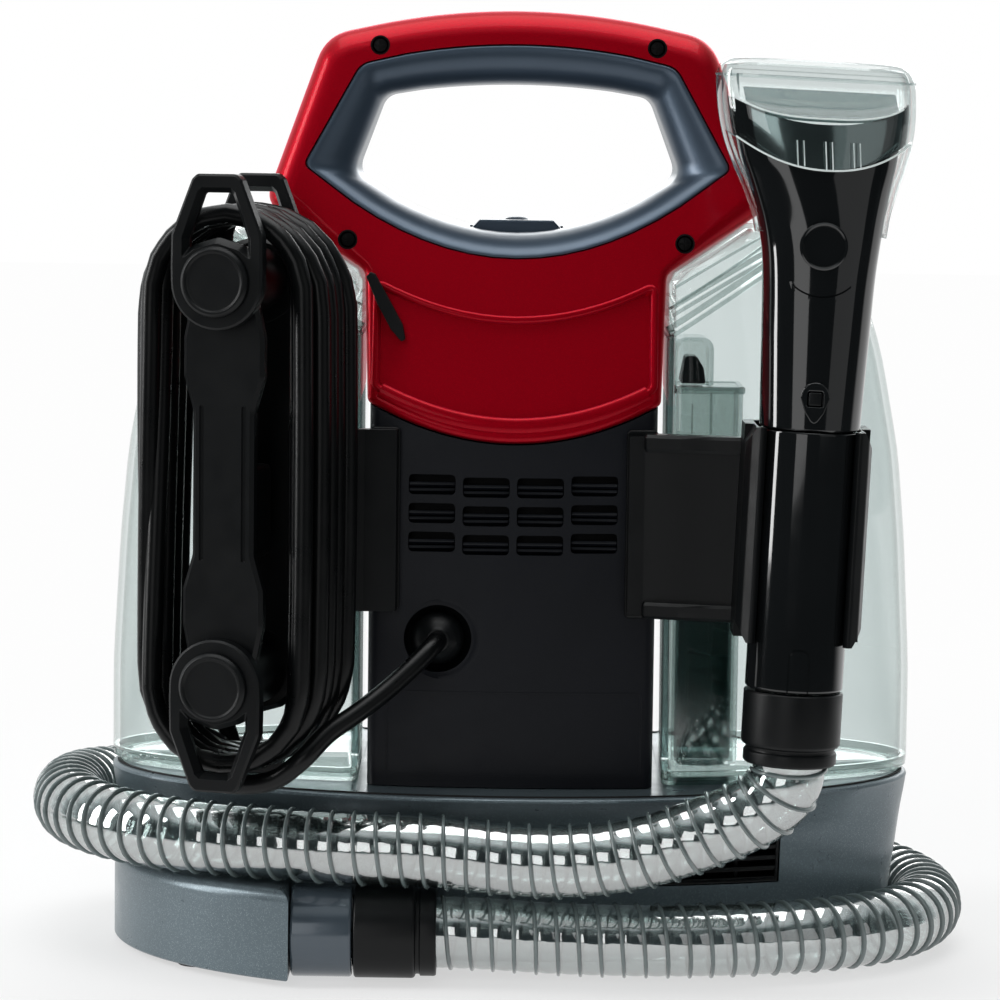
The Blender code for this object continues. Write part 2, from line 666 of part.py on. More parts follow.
def add_tank(name, side, floor_hole, hole_x):
    hollow = cut(tank_solid(side, 0.0), tank_solid(side, TANK_WALL))
    lower = tank_piece(hollow.copy(), side, keep_above=False)
    lower = cut(lower, moved(floor_hole, at(hole_x, 0, 0)))
    add_part(name + "_shell", lower, CLEAR, (side * 100, 0, TANK_BOTTOM))
    add_part(name + "_lid", tank_piece(hollow, side, keep_above=True), CLEAR,
             (side * 80, 0, 240))


def dirty_tank_stack():
    """Upright square pipe with a hood open at one end and a baffle on its outer side."""
    pipe = cut(block((57.2, 83.0), (-16, 16), (69.6, 206.0)),
               block((59.2, 81.0), (-14, 14), (60.0, 210.0)))
    hood = cut(block((57.2, 72.2), (-12, 12), (204.8, 224.0)),
               block((59.2, 70.2), (-13, 10), (200.0, 222.0)))
    return fuse(pipe, hood, block((70.2, 72.2), (-15, 15), (100.0, 205.5)))


def tank_latch():
    return loft([[(x, -shell_depth(z) - lift, z) for x, z in LATCH_OUTLINE]
                 for lift in (LATCH_LIFT, LATCH_TOP)])


add_tank("clean_tank", -1, cylinder(14.4, 60, 75), -CAP_X)
add_tank("dirty_tank", 1, cylinder(8.6, 60, 75, 20), DUCT_X)
tank_cap = fuse(lathe(CAP_PROFILE), block((-9, 9), (-1.6, 1.6), (69.0, 74.0)))
add_part("clean_tank_cap", moved(tank_cap, at(-CAP_X, 0, 0)), BLACK, (-CAP_X, 0, TANK_BOTTOM))
add_part("dirty_tank_stack", dirty_tank_stack(), CLEAR)
add_part("dirty_tank_float", block((59.9, 69.5), (-8.5, 8.5), (206.6, 217.0), chamfer=1.0),
         BLACK, (64.7, 0, 208))
add_part("tank_latch", tank_latch(), BLACK,
         (LATCH_PIVOT_X, -shell_depth(LATCH_PIVOT_Z) - LATCH_LIFT, LATCH_PIVOT_Z))

# ---- inside the column and the base ----
# radius, z
MOTOR_PROFILE = [
    (4.4, 118.0), (30, 118.0), (36, 121.0), (36, 166.0), (30, 172.0), (12, 174.0), (12, 180.0),
    (8, 180.0), (8, 171.0), (27, 168.0), (32, 163.0), (32, 124.0), (4.4, 122.5)]
FAN_HOUSING_PROFILE = [
    (16, 84.0), (44, 84.0), (45.5, 86.0), (45.5, 110.0), (43, 112.0), (5.0, 112.0),
    (5.0, 109.6), (42, 109.6), (43, 108.0), (43, 87.0), (16, 86.4)]
IMPELLER_PROFILE = [
    (0, 90.0), (36, 90.0), (39, 91.5), (39, 94.0), (14, 97.0), (9, 105.0), (4.0, 106.0),
    (4.0, 150.0), (3.0, 152.0), (0, 152.0)]
GASKET_PROFILE = [(30, 112.4), (40, 112.4), (40, 117.6), (30, 117.6)]
# x, y, z
DUCT_PATH = [
    (-81.5, -72, 17.5), (-90, -63, 17.8), (-92, -44, 18.5), (-80, -28, 20.5), (-50, -21, 22),
    (15, -17, 25), (56, -9, 31), (69.5, 0, 46), (DUCT_X, 0, 61)]
PUMP_OUTLET = (-44, 18, 22)
WATER_PATH = [(-54, 18, 22), (-74, 14, 24), (-96, 4, 34), (-CAP_X, 0, 50), (-CAP_X, 0, 62)]

add_part("motor_housing", lathe(MOTOR_PROFILE, 16), STEEL, (0, 0, 118))
add_part("fan_housing", lathe(FAN_HOUSING_PROFILE, 20), WHITE, (0, 0, 84))
add_part("fan_impeller", lathe(IMPELLER_PROFILE, 16), STEEL, (0, 0, 90))
add_part("motor_gasket", lathe(GASKET_PROFILE, 20), RUBBER, (0, 0, 115))
add_part("pump_body",
         fuse(block((-44, -2), (2, 34), (6.0, 32.0), chamfer=2.0),
              moved(cylinder(4.0, -8, 6, 12), at(*PUMP_OUTLET) @ TO_RIGHT)), WHITE)
add_part("suction_duct", tube(even_path(DUCT_PATH, 6, 16), 7.4, 8, bore=5.8), BLACK)
add_part("water_tube", tube(even_path(WATER_PATH, 5, 9), 3.2, 6, bore=1.9), WHITE)

# ---- hose ----
HOSE_RADIUS, HOSE_BORE = 13.5, 10.5
# x, y, z: from the port, round the +X side, the front and the -X side, then up to the hand tool
HOSE_PATH = [
    (-31.5, -73, 17.5), (-10, -73, 17.0), (20, -71.5, 15.2), (60, -69, 14.4), (95, -62, 14.4),
    (123, -49, 14.4), (141, -33, 14.6), (152, -12, 14.8), (154.5, 12, 15), (147, 41, 15.8),
    (122, 68, 19), (85, 88, 23), (40, 99, 27), (0, 101, 30), (-45, 99, 34), (-90, 89, 39),
    (-126, 74, 43.5), (-149, 52, 48), (-160.5, 26, 50.5), (-162, 0, 51.3), (-156, -26, 50.6),
    (-139, -47, 49.4), (-118, -60, 48.5), (-98, -67, 48.1), (-79, -73, 48.0), (-56, -79, 48.0),
    (-26, -82, 47.6), (5, -84, 45.2), (28, -86, 46), (50, -88, 50.3), (68, -90, 57.0),
    (82, -92.2, 63.5), (90.2, -93.8, 69.2), (94.6, -94.9, 75.3), (95.75, -95, 79.6),
    (95.93, -95, 83.6), (96.1, -95, 88.0)]
# radius, x along the port's axis
PORT_PROFILE = [(12.5, -75.5), (15.7, -75.5), (PORT_RADIUS, -75.0), (PORT_RADIUS, -55.0),
                (15.7, -54.2), (12.5, -54.2)]
BASE_CUFF_PROFILE = [
    (11.0, -53.6), (15.9, -53.6), (16.4, -53.0), (16.4, -33.0), (15.8, -32.2), (14.9, -32.0),
    (14.9, -30.6), (15.6, -30.4), (15.6, -25.4), (15.2, -24.8), (14.0, -24.8), (14.0, -32.0),
    (11.0, -32.4)]
PORT_AXIS = at(0, PORT_Y, PORT_Z) @ TO_RIGHT

add_part("suction_hose", tube(even_path(HOSE_PATH, 8, 56), HOSE_RADIUS, 10, HOSE_BORE), CLEAR)
add_part("hose_port", moved(lathe(PORT_PROFILE, 20), PORT_AXIS), GREY)
add_part("hose_base_cuff", moved(lathe(BASE_CUFF_PROFILE, 20), PORT_AXIS), BLACK)

# ---- hand tool, drawn upright about its own axis from the hose end ----
WAND = at(95.9, -95.0, 82.6) @ Matrix.Rotation(math.radians(2.3), 4, "Y")
WAND_RADIUS = 16.75
# radius, height
WAND_CUFF_PROFILE = [
    (14.6, 0.3), (15.4, 0.0), (16.0, 0.6), (16.0, 4.4), (15.4, 4.8), (15.4, 6.2), (16.5, 6.6),
    (17.0, 7.4), (17.0, 24.8), (16.4, 25.4), (12.0, 25.4), (12.0, 20.0), (14.6, 19.0)]
WAND_PROFILE = [(12.8, 26.0), (16.2, 26.0), (WAND_RADIUS, 26.8), (WAND_RADIUS, 114.4),
                (16.4, 114.9), (12.8, 114.9)]
VALVE_PROFILE = [(0, 74.0), (3.6, 74.0), (3.6, 92.0), (1.6, 93.0), (1.6, 108.0), (0, 108.0)]
BADGE_PROFILE = [(0, 15.3), (8.1, 15.3), (8.1, 16.2), (7.2, 16.7), (0, 16.7)]
BADGE_Z = 177.5
TIP_PROFILE = [(0, 196.0), (3.2, 196.0), (3.2, 206.0), (2.0, 209.0), (0.9, 209.0), (0.9, 207.5),
               (0, 207.5)]
TIP_Y = 20.0
# y, height
TRIGGER_OUTLINE = [
    (11.0, 104.0), (17.5, 103.5), (20.5, 99.0), (22.2, 88.0), (21.0, 72.0), (18.6, 62.5),
    (16.8, 61.5), (15.0, 63.0), (16.5, 78.0), (15.6, 92.0), (11.0, 96.0), (9.5, 100.0)]
# height, half width, half depth
NECK_LEVELS = [
    (115.5, 17.1, 16.75), (143.5, 18.2, 15.9), (171.6, 19.5, 14.9), (184.6, 21.3, 14.4),
    (196.0, 24.0, 13.9), (206.0, 26.8, 13.4), (214.0, 28.2, 13.0)]
WINDOW_LEVELS = [
    (201.5, 29.4, 16.0), (211, 31.8, 16.2), (219, 33.2, 15.8), (228, 33.6, 14.6),
    (236, 33.6, 13.4), (237.6, 32.8, 12.8)]
RELEASE_Z, RELEASE_HALF = 126.3, 2.25     # square button in the neck
RELEASE_CLEARANCE = 0.35
WARP_START = 172.0
TWIST, TWIST_LENGTH = math.radians(7.0), 33.0
LEAN, LEAN_BLEND = 0.095, 16.0            # slope of the lean, length over which it builds up


def rounded_ring(z, half_x, half_y, power, segments=18):
    """Superellipse ring; a power above 2 is squarer than an ellipse."""
    def stretch(value):
        return math.copysign(abs(value) ** (2 / power), value)

    angles = [2 * math.pi * k / segments for k in range(segments)]
    return [(stretch(math.cos(t)) * half_x, stretch(math.sin(t)) * half_y, z) for t in angles]


def rounded_sleeve(levels, wall, power):
    outer = [rounded_ring(z, half_x, half_y, power) for z, half_x, half_y in levels]
    inner = [rounded_ring(z, half_x - wall, half_y - wall, power)
             for z, half_x, half_y in reversed(levels)]
    return loft(outer + inner, loop=True)


def warped(bm):
    """Lean the upper tool to -X and turn it a few degrees about its own axis."""
    for v in bm.verts:
        rise = v.co.z - WARP_START
        if rise > 0:
            part = min(rise / TWIST_LENGTH, 1.0)
            t = TWIST * part * part * (3 - 2 * part)
            x, y = v.co.x, v.co.y
            curved = rise * rise / (2 * LEAN_BLEND)
            lean = LEAN * (curved if rise < LEAN_BLEND else rise - LEAN_BLEND / 2)
            v.co.x = x * math.cos(t) - y * math.sin(t) - lean
            v.co.y = x * math.sin(t) + y * math.cos(t)
    return bm


def add_tool_part(name, bm, mat, pivot):
    """Place a part drawn in the tool's own axes; pivot is in those axes too."""
    add_part(name, moved(bm, WAND), mat, tuple(WAND @ Vector(pivot)))


def release_square(y_span, half, chamfer=0.0):
    return block((-half, half), y_span, (RELEASE_Z - half, RELEASE_Z + half), chamfer)


add_tool_part("hose_wand_cuff", lathe(WAND_CUFF_PROFILE, 20), BLACK, (0, 0, 0))
add_tool_part("wand_handle",
              cut(lathe(WAND_PROFILE), block((-5.6, 5.6), (4.0, 30.0), (60.0, 105.0))),
              GLOSS, (0, 0, 26))
add_tool_part("spray_trigger", prism(TRIGGER_OUTLINE, -5.1, 5.1, "YZ"), BLACK, (0, 13.0, 101.0))
add_tool_part("wand_valve", moved(lathe(VALVE_PROFILE, 12), at(0, -2, 0)), STEEL, (0, -2, 74))
tool_neck = cut(rounded_sleeve(NECK_LEVELS, wall=2.0, power=2.3),
                release_square((-30, 0), RELEASE_HALF + RELEASE_CLEARANCE))
add_tool_part("tool_neck", warped(tool_neck), GLOSS, (0, 0, 115.5))
add_tool_part("tool_window", warped(rounded_sleeve(WINDOW_LEVELS, wall=1.8, power=2.6)),
              CLEAR, (0, 0, 202))
add_tool_part("tool_badge", moved(lathe(BADGE_PROFILE, 20), at(0, 0, BADGE_Z) @ TO_REAR),
              GLOSS, (0, -15, BADGE_Z))
add_tool_part("release_button", release_square((-17.5, -12.6), RELEASE_HALF, chamfer=0.3),
              BLACK, (0, -15, RELEASE_Z))
add_tool_part("spray_tip", warped(moved(lathe(TIP_PROFILE, 12), at(0, TIP_Y, 0))), BLACK,
              (0, TIP_Y, 196))

# ---- tool holder: channel in the tool's own axes, arm and lips in world axes ----
# x, y
CHANNEL_RIGHT = [
    (17.7, 24.2), (17.7, 1.0), (17.4, -3.0), (16.6, -6.0), (15.3, -9.0), (14.8, -10.4),
    (16.6, -12.2), (20.0, -9.0), (21.5, -3.0), (21.5, 24.6), (18.5, 27.6)]
ARM_OUTLINE = [
    (40.5, -58.6), (50.5, -58.2), (60, -61.2), (82, -67.3), (84, -69.4), (80, -71.4),
    (60, -66.0), (52, -63.6), (40.5, -62.6)]
LIP_OUTLINE = [(45.5, -58.4), (50.5, -58.2), (82, -67.3), (84, -69.4), (79, -73.4),
               (58, -68.4), (45.5, -64.9)]
# height in the tool's axes, width factor of the channel's outer corners
CHANNEL_LEVELS = [(42.0, 0.985), (47.0, 1.0), (110.5, 1.0), (115.3, 0.985)]


def tool_holder():
    outline = CHANNEL_RIGHT + mirrored(CHANNEL_RIGHT)
    channel = loft([[(x * factor if abs(x) > 17.8 else x, y, z) for x, y in outline]
                    for z, factor in CHANNEL_LEVELS])
    lips = gather([prism(LIP_OUTLINE, 127.8, 133.4), prism(LIP_OUTLINE, 186.6, 192.4)])
    return fuse(moved(channel, WAND), prism(ARM_OUTLINE, 131.0, 190.0), lips)


add_part("tool_holder", tool_holder(), BLACK)

# ---- cord winder, drawn in its own axes: y = 0 at the hooks, +y towards the machine ----
WINDER = at(-100.5, -105.0, 0) @ Matrix.Rotation(-math.radians(16.0), 4, "Z")
HOOK_TOP_Z, HOOK_BOTTOM_Z = 245.3, 107.6
CORD_RADIUS = 3.5
HOOK_RADIUS = 16.2              # round end of a hook, about its pivot
# x, z from the pivot, for a hook that points up
HOOK_RIGHT = [(16.4, 5.0), (16.2, 15.8), (8.9, 34.4), (7.0, 36.2)]
HOOK_EYE = [(-12.4, 8.0), (0, 13.2), (12.4, 8.0), (12.4, 14.8), (6.2, 31.4), (-6.2, 31.4),
            (-12.4, 14.8)]
HOOK_CAP_PROFILE = [
    (0, -3.7), (5.9, -3.7), (5.9, 1.9), (12.0, 1.9), (12.0, 3.6), (11.0, 4.6), (9.9, 4.6),
    (9.9, 4.0), (0, 4.0)]
# x, z
SPINE_RIGHT = [(10.5, 108), (14.5, 128), (14.5, 140), (11.0, 152), (11.0, 201), (14.5, 213),
               (14.5, 226), (10.5, 245)]
PLATE_OUTLINE = [(-12, 110), (12, 110), (12, 243), (-12, 243)]
# world x, y of the arm that joins the winder to the column
WINDER_ARM = [(-40.5, -58.6), (-40.5, -62.6), (-52, -63.8), (-78, -70.4), (-81.0, -66.0),
              (-60, -61.0), (-50.5, -58.2)]
# half width, y of the section of the wound cord
COIL_SECTION = [(21.0, 8.0), (23.5, 6.0), (35.5, 6.0), (38.0, 9.0), (38.0, 36.5), (35.5, 39.4),
                (23.5, 39.4), (21.0, 37.0)]
COIL_TOP_Z, COIL_BOTTOM_Z = 236.0, 116.8  # centres of the coil's inmost bends
# world x, y, z from the coil to the grommet
CORD_TAIL = [WINDER @ Vector((30, 20, 92)), (-62, -88, 90), (-50, -84, 97), (-39, -79, 106),
             (-31.5, -73.5, 113.5), (-27.2, -67.6, 118.0)]


def hook(direction, pivot_z, near, far, bore=0.0):
    """Hook loop from y = near to far; direction is +1 for up and -1 for down."""
    def placed(points):
        ordered = points if direction > 0 else reversed(points)
        return [(x, pivot_z + direction * z) for x, z in ordered]

    angles = [math.pi + math.pi * k / 8 for k in range(9)]
    end = [(HOOK_RADIUS * math.cos(t), HOOK_RADIUS * math.sin(t)) for t in angles]
    outline = end + HOOK_RIGHT + mirrored(HOOK_RIGHT)
    tools = [prism(placed(HOOK_EYE), near - 5, far + 5, "XZ")]
    if bore:
        tools.append(moved(cylinder(bore, -far - 5, -near + 5, 20),
                           at(0, 0, pivot_z) @ TO_REAR))
    return cut(prism(placed(outline), near, far, "XZ"), *tools)


def cord_winder():
    top_post, bottom_post = [moved(cylinder(11.0, 4.2, 44.0, 16), at(0, 0, z) @ TO_FRONT)
                             for z in (HOOK_TOP_Z, HOOK_BOTTOM_Z)]
    spine = prism(SPINE_RIGHT + mirrored(SPINE_RIGHT), 6.0, 10.0, "XZ")
    plate = prism(PLATE_OUTLINE, 40.0, 44.0, "XZ")
    frame = fuse(top_post, spine, bottom_post, plate, hook(1, HOOK_TOP_Z, 40.2, 43.8),
                 hook(-1, HOOK_BOTTOM_Z, 40.2, 43.8))
    return fuse(moved(frame, WINDER), prism(WINDER_ARM, 129.0, 193.0))


def coil_track(half_width, y, steps=8):
    """Closed racetrack round the posts; the bend centres close up as it widens."""
    shift = 2.0 * (half_width - 21) / 17
    track = []
    for start, centre_z in ((0.0, COIL_TOP_Z - shift), (math.pi, COIL_BOTTOM_Z + shift)):
        for k in range(steps + 1):
            t = start + math.pi * k / steps
            track.append(Vector((half_width * math.cos(t), y,
                                 centre_z + half_width * math.sin(t))))
    return track


def power_cord():
    tracks = [coil_track(half_width, y) for half_width, y in COIL_SECTION]
    coil = loft(list(zip(*tracks)), loop=True)
    return fuse(moved(coil, WINDER), tube(even_path(CORD_TAIL, 6, 14), CORD_RADIUS, 8))


def power_plug():
    pins = [block(x_span, (20, 26), (181, 200)) for x_span in ((-5.6, -4.0), (4.0, 5.6))]
    return fuse(block((-9, 9), (14, 32), (150, 182), chamfer=2.5), *pins)


for name, direction, z in (("top", 1, HOOK_TOP_Z), ("bottom", -1, HOOK_BOTTOM_Z)):
    pivot = tuple(WINDER @ Vector((0, 0, z)))
    loop_hook = hook(direction, z, -1.5, 3.4, bore=6.5)
    add_part("hook_%s_loop" % name, moved(loop_hook, WINDER), BLACK, pivot)
    hook_cap = moved(lathe(HOOK_CAP_PROFILE, 20), WINDER @ at(0, 0, z) @ TO_REAR)
    add_part("hook_%s_cap" % name, hook_cap, BLACK, pivot)
add_part("cord_winder", cord_winder(), BLACK)
add_part("power_cord", power_cord(), BLACK)
add_part("power_plug", moved(power_plug(), WINDER), BLACK)

# ---- centre the overall box on the origin in x and y ----
for axis in (0, 1):
    low = min(part.location[axis] + min(v.co[axis] for v in part.data.vertices)
              for part in bpy.data.objects)
    high = max(part.location[axis] + max(v.co[axis] for v in part.data.vertices)
               for part in bpy.data.objects)
    for part in bpy.data.objects:
        part.location[axis] -= (low + high) / 2
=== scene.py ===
"""Looks of a portable spot cleaner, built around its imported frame.

The machine stands on Z = 0 with its long side along X: clean tank at -X, dirty tank at +X.
Its rear, with cord winder, hose and hand tool, faces the camera at -Y. Shapes are modelled in
millimetres in the design's own axes; place() writes metres in the frame's axes.
"""
import math
import random

import bmesh
import bpy
from mathutils import Matrix, Vector


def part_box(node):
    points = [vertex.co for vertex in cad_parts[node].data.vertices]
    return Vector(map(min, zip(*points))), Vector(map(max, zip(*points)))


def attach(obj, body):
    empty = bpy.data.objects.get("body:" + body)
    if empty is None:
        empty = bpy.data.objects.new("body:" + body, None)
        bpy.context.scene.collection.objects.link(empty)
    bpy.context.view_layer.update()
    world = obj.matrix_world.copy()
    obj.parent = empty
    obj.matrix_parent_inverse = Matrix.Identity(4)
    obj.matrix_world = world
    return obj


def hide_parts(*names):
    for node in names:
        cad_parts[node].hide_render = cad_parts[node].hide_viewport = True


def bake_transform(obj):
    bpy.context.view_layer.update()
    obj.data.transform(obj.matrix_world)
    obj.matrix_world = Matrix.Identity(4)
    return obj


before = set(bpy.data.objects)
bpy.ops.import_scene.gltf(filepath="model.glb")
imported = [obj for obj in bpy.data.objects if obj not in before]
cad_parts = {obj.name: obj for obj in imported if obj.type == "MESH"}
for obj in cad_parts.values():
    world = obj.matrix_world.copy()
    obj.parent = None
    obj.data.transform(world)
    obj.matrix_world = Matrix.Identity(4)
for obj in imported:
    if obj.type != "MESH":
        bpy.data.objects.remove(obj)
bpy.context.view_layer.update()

MM = 0.001
FEET = ((-110, -50), (95, -25), (95, 25), (-100, 28))  # (x, y) of each foot
foot_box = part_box("foot_1")
SHIFT = Vector(((foot_box[0].x + foot_box[1].x) / 2 - FEET[0][0] * MM,
                (foot_box[0].y + foot_box[1].y) / 2 - FEET[0][1] * MM, 0.0))

# ------------------------------------------------------------------ outlines and curves


def across(half, count):
    """Evenly spaced x from -half to half."""
    return [-half + 2 * half * i / count for i in range(count + 1)]


def parabola(x, middle, rise):
    return middle + rise * x * x


def eased(x):
    """Smooth step from 0 to 1."""
    x = min(max(x, 0.0), 1.0)
    return x * x * (3 - 2 * x)


def ellipse(half_x, half_y, count):
    angles = [2 * math.pi * k / count for k in range(count)]
    return [(half_x * math.cos(angle), half_y * math.sin(angle)) for angle in angles]


def level(outline, z):
    return [(x, y, z) for x, y in outline]


def upright(outline, y):
    return [(x, y, z) for x, z in outline]


def mirrored(outline):
    return [(-x, y) for x, y in reversed(outline)]


def section(half, low, high):
    """Rectangular section for sweep()."""
    return [(-half, low), (half, low), (half, high), (-half, high)]


def corner_curve(start, corner, end, steps):
    """Quadratic curve that rounds a corner, both ends included."""
    return [start * (1 - s) ** 2 + corner * (2 * s * (1 - s)) + end * s * s
            for s in (k / steps for k in range(steps + 1))]


def round_profile(points, radius, steps, closed=False):
    """Round the corners of an open or closed (r, z) profile."""
    out = []
    count = len(points)
    for i in range(count):
        if not closed and i in (0, count - 1):
            out.append(tuple(points[i]))
            continue
        before, corner = Vector(points[i - 1]), Vector(points[i])
        after = Vector(points[(i + 1) % count])
        cut_back = min(radius, 0.45 * (before - corner).length, 0.45 * (after - corner).length)
        start = corner + (before - corner).normalized() * cut_back
        end = corner + (after - corner).normalized() * cut_back
        out += [tuple(point) for point in corner_curve(start, corner, end, steps)]
    return out


def round_outline(points, radii, steps=8):
    """Round each corner of a closed outline by its own radius; None leaves it sharp."""
    out = []
    for i, radius in enumerate(radii):
        before, corner = Vector(points[i - 1]), Vector(points[i])
        after = Vector(points[(i + 1) % len(points)])
        if radius is None:
            out.append(tuple(corner))
            continue
        back, ahead = (before - corner).normalized(), (after - corner).normalized()
        cut_back = max(radius, 0.3) / math.tan(back.angle(ahead) / 2)
        cut_back = min(cut_back, 0.49 * (before - corner).length, 0.49 * (after - corner).length)
        start, end = corner + back * cut_back, corner + ahead * cut_back
        out += [tuple(point) for point in corner_curve(start, corner, end, steps)]
    return out


def rounded(points, radius, steps=5):
    return round_outline(points, [radius] * len(points), steps)


def rounded_box(x0, x1, y0, y1, radius, steps=5):
    return rounded([(x0, y0), (x1, y0), (x1, y1), (x0, y1)], radius, steps)


def arch(x0, x1, z0, z1, radius=5.0, steps=8):
    """Rectangle with only its two upper corners rounded."""
    corners = [(x0, z0), (x1, z0), (x1, z1), (x0, z1)]
    return round_outline(corners, [None, None, radius, radius], steps)


def offset_outline(points, distance):
    """Shift each edge to its left, which is inwards on an anticlockwise outline."""
    out = []
    for i in range(len(points)):
        before, corner = Vector(points[i - 1]), Vector(points[i])
        after = Vector(points[(i + 1) % len(points)])
        edge_in, edge_out = (corner - before).normalized(), (after - corner).normalized()
        left_in, left_out = Vector((-edge_in.y, edge_in.x)), Vector((-edge_out.y, edge_out.x))
        mitre = (left_in + left_out) / max(1.0 + left_in.dot(left_out), 0.2)
        out.append(tuple(corner + mitre * distance))
    return out


def walk(outline, step):
    """Points along a closed outline, no edge longer than about two steps."""
    out = []
    for i in range(len(outline)):
        start, end = Vector(outline[i]), Vector(outline[(i + 1) % len(outline)])
        pieces = max(1, int((end - start).length / step))
        out += [start.lerp(end, k / pieces) for k in range(pieces)]
    return out


def superellipse(half_x, half_y, z, count=64, power=2.3):
    out = []
    for k in range(count):
        angle = 2 * math.pi * k / count
        c, s = math.cos(angle), math.sin(angle)
        out.append((math.copysign(abs(c) ** (2 / power), c) * half_x,
                    math.copysign(abs(s) ** (2 / power), s) * half_y, z))
    return out


def between(stations, z):
    """Half sizes at z from (z, half x, half y) stations."""
    for (z0, a0, b0), (z1, a1, b1) in zip(stations[:-1], stations[1:]):
        if z <= z1:
            part = max(0.0, (z - z0) / (z1 - z0))
            return a0 + (a1 - a0) * part, b0 + (b1 - b0) * part
    return stations[-1][1:]


def averaged(stations, z, offsets, low, high):
    """Half sizes averaged over heights around z, which are kept between low and high."""
    half_x = half_y = 0.0
    for offset in offsets:
        a, b = between(stations, min(max(z + offset, low), high))
        half_x += a / len(offsets)
        half_y += b / len(offsets)
    return half_x, half_y


def spline(points, per_span):
    """Centripetal Catmull-Rom curve through the points."""
    def mix(first, second, start, end, t):
        return first * ((end - t) / (end - start)) + second * ((t - start) / (end - start))
    p = [Vector(point) for point in points]
    p = [2 * p[0] - p[1]] + p + [2 * p[-1] - p[-2]]
    out = []
    for a, b, c, d in zip(p, p[1:], p[2:], p[3:]):
        t0 = 0.0
        t1 = t0 + (b - a).length ** 0.5
        t2 = t1 + (c - b).length ** 0.5
        t3 = t2 + (d - c).length ** 0.5
        for k in range(per_span):
            t = t1 + (t2 - t1) * k / per_span
            ab, bc, cd = mix(a, b, t0, t1, t), mix(b, c, t1, t2, t), mix(c, d, t2, t3, t)
            out.append(mix(mix(ab, bc, t0, t2, t), mix(bc, cd, t1, t3, t), t1, t2, t))
    out.append(p[-2])
    return out


def resample(points, count):
    """Split a path into equal lengths."""
    run = [0.0]
    for start, end in zip(points[:-1], points[1:]):
        run.append(run[-1] + (end - start).length)
    out, i = [], 0
    for k in range(count + 1):
        target = run[-1] * k / count
        while i < len(run) - 2 and run[i + 1] < target:
            i += 1
        part = (target - run[i]) / max(run[i + 1] - run[i], 1e-9)
        out.append(points[i].lerp(points[i + 1], min(max(part, 0.0), 1.0)))
    return out


def path_frames(path):
    """(tangent, normal, binormal) at each point, carried along with little twist."""
    tangents = []
    for i in range(len(path)):
        ahead, behind = path[min(i + 1, len(path) - 1)], path[max(i - 1, 0)]
        tangents.append((ahead - behind).normalized())
    normal = tangents[0].orthogonal().normalized()
    out = []
    for tangent in tangents:
        normal = (normal - tangent * normal.dot(tangent)).normalized()
        out.append((tangent, normal, tangent.cross(normal)))
    return out


# ------------------------------------------------------------------ mesh helpers


def skin(rings, loop=False):
    """Faces between successive closed rings; a ring may be a single point."""
    mesh = bmesh.new()
    rows = [[mesh.verts.new(point) for point in ring] for ring in rings]
    pairs = list(zip(rows[:-1], rows[1:]))
    if loop:
        pairs.append((rows[-1], rows[0]))
    for row, following in pairs:
        count = max(len(row), len(following))
        for i in range(count):
            j = (i + 1) % count
            if len(row) == 1:
                mesh.faces.new((row[0], following[i], following[j]))
            elif len(following) == 1:
                mesh.faces.new((row[i], row[j], following[0]))
            else:
                mesh.faces.new((row[i], row[j], following[j], following[i]))
    return mesh, rows


def loft(rings, loop=False):
    """Solid through rings, capped at its ends unless the rings form a loop."""
    mesh, rows = skin(rings, loop)
    if not loop:
        mesh.faces.new(list(reversed(rows[0])))
        mesh.faces.new(rows[-1])
    return mesh


def wall_loft(rings):
    """Loft of a thin wall: each ring runs out along one face and back along the other."""
    mesh, rows = skin(rings)
    count = len(rings[0])
    for row in (rows[0], rows[-1]):
        for i in range(count // 2 - 1):
            mesh.faces.new((row[i], row[i + 1], row[count - 2 - i], row[count - 1 - i]))
    return mesh


def prism(outline, low, high, plane="XY"):
    def put(point, height):
        if plane == "XY":
            return (point[0], point[1], height)
        if plane == "XZ":
            return (point[0], height, point[1])
        return (height, point[0], point[1])
    return loft([[put(point, height) for point in outline] for height in (low, high)])


def block(x0, x1, y0, y1, z0, z1, chamfer=0.0, steps=1):
    mesh = prism([(x0, y0), (x1, y0), (x1, y1), (x0, y1)], z0, z1)
    if chamfer:
        bmesh.ops.bevel(mesh, geom=list(mesh.edges), offset=chamfer, segments=steps, profile=0.6,
                        affect="EDGES")
    return mesh


def lathe(profile, count, closed=False):
    """Turn an (r, z) profile round Z."""
    rings = [[(0, 0, z)] if r < 1e-6 else level(ellipse(r, r, count), z) for r, z in profile]
    return skin(rings, closed)[0]


def cylinder(radius, z0, z1, count=48):
    return lathe([(0, z0), (radius, z0), (radius, z1), (0, z1)], count)


def shift(x, y, z):
    return Matrix.Translation((x, y, z))


def turn(degrees, axis):
    return Matrix.Rotation(math.radians(degrees), 4, axis)


Z_TO_MINUS_Y = turn(90, "X")
Z_TO_PLUS_Y = turn(-90, "X")
Z_TO_PLUS_X = turn(90, "Y")


def moved(mesh, matrix):
    bmesh.ops.transform(mesh, matrix=matrix, verts=mesh.verts)
    return mesh


def join(*meshes):
    out = bmesh.new()
    for mesh in meshes:
        data = bpy.data.meshes.new("t")
        mesh.to_mesh(data)
        mesh.free()
        out.from_mesh(data)
        bpy.data.meshes.remove(data)
    return out


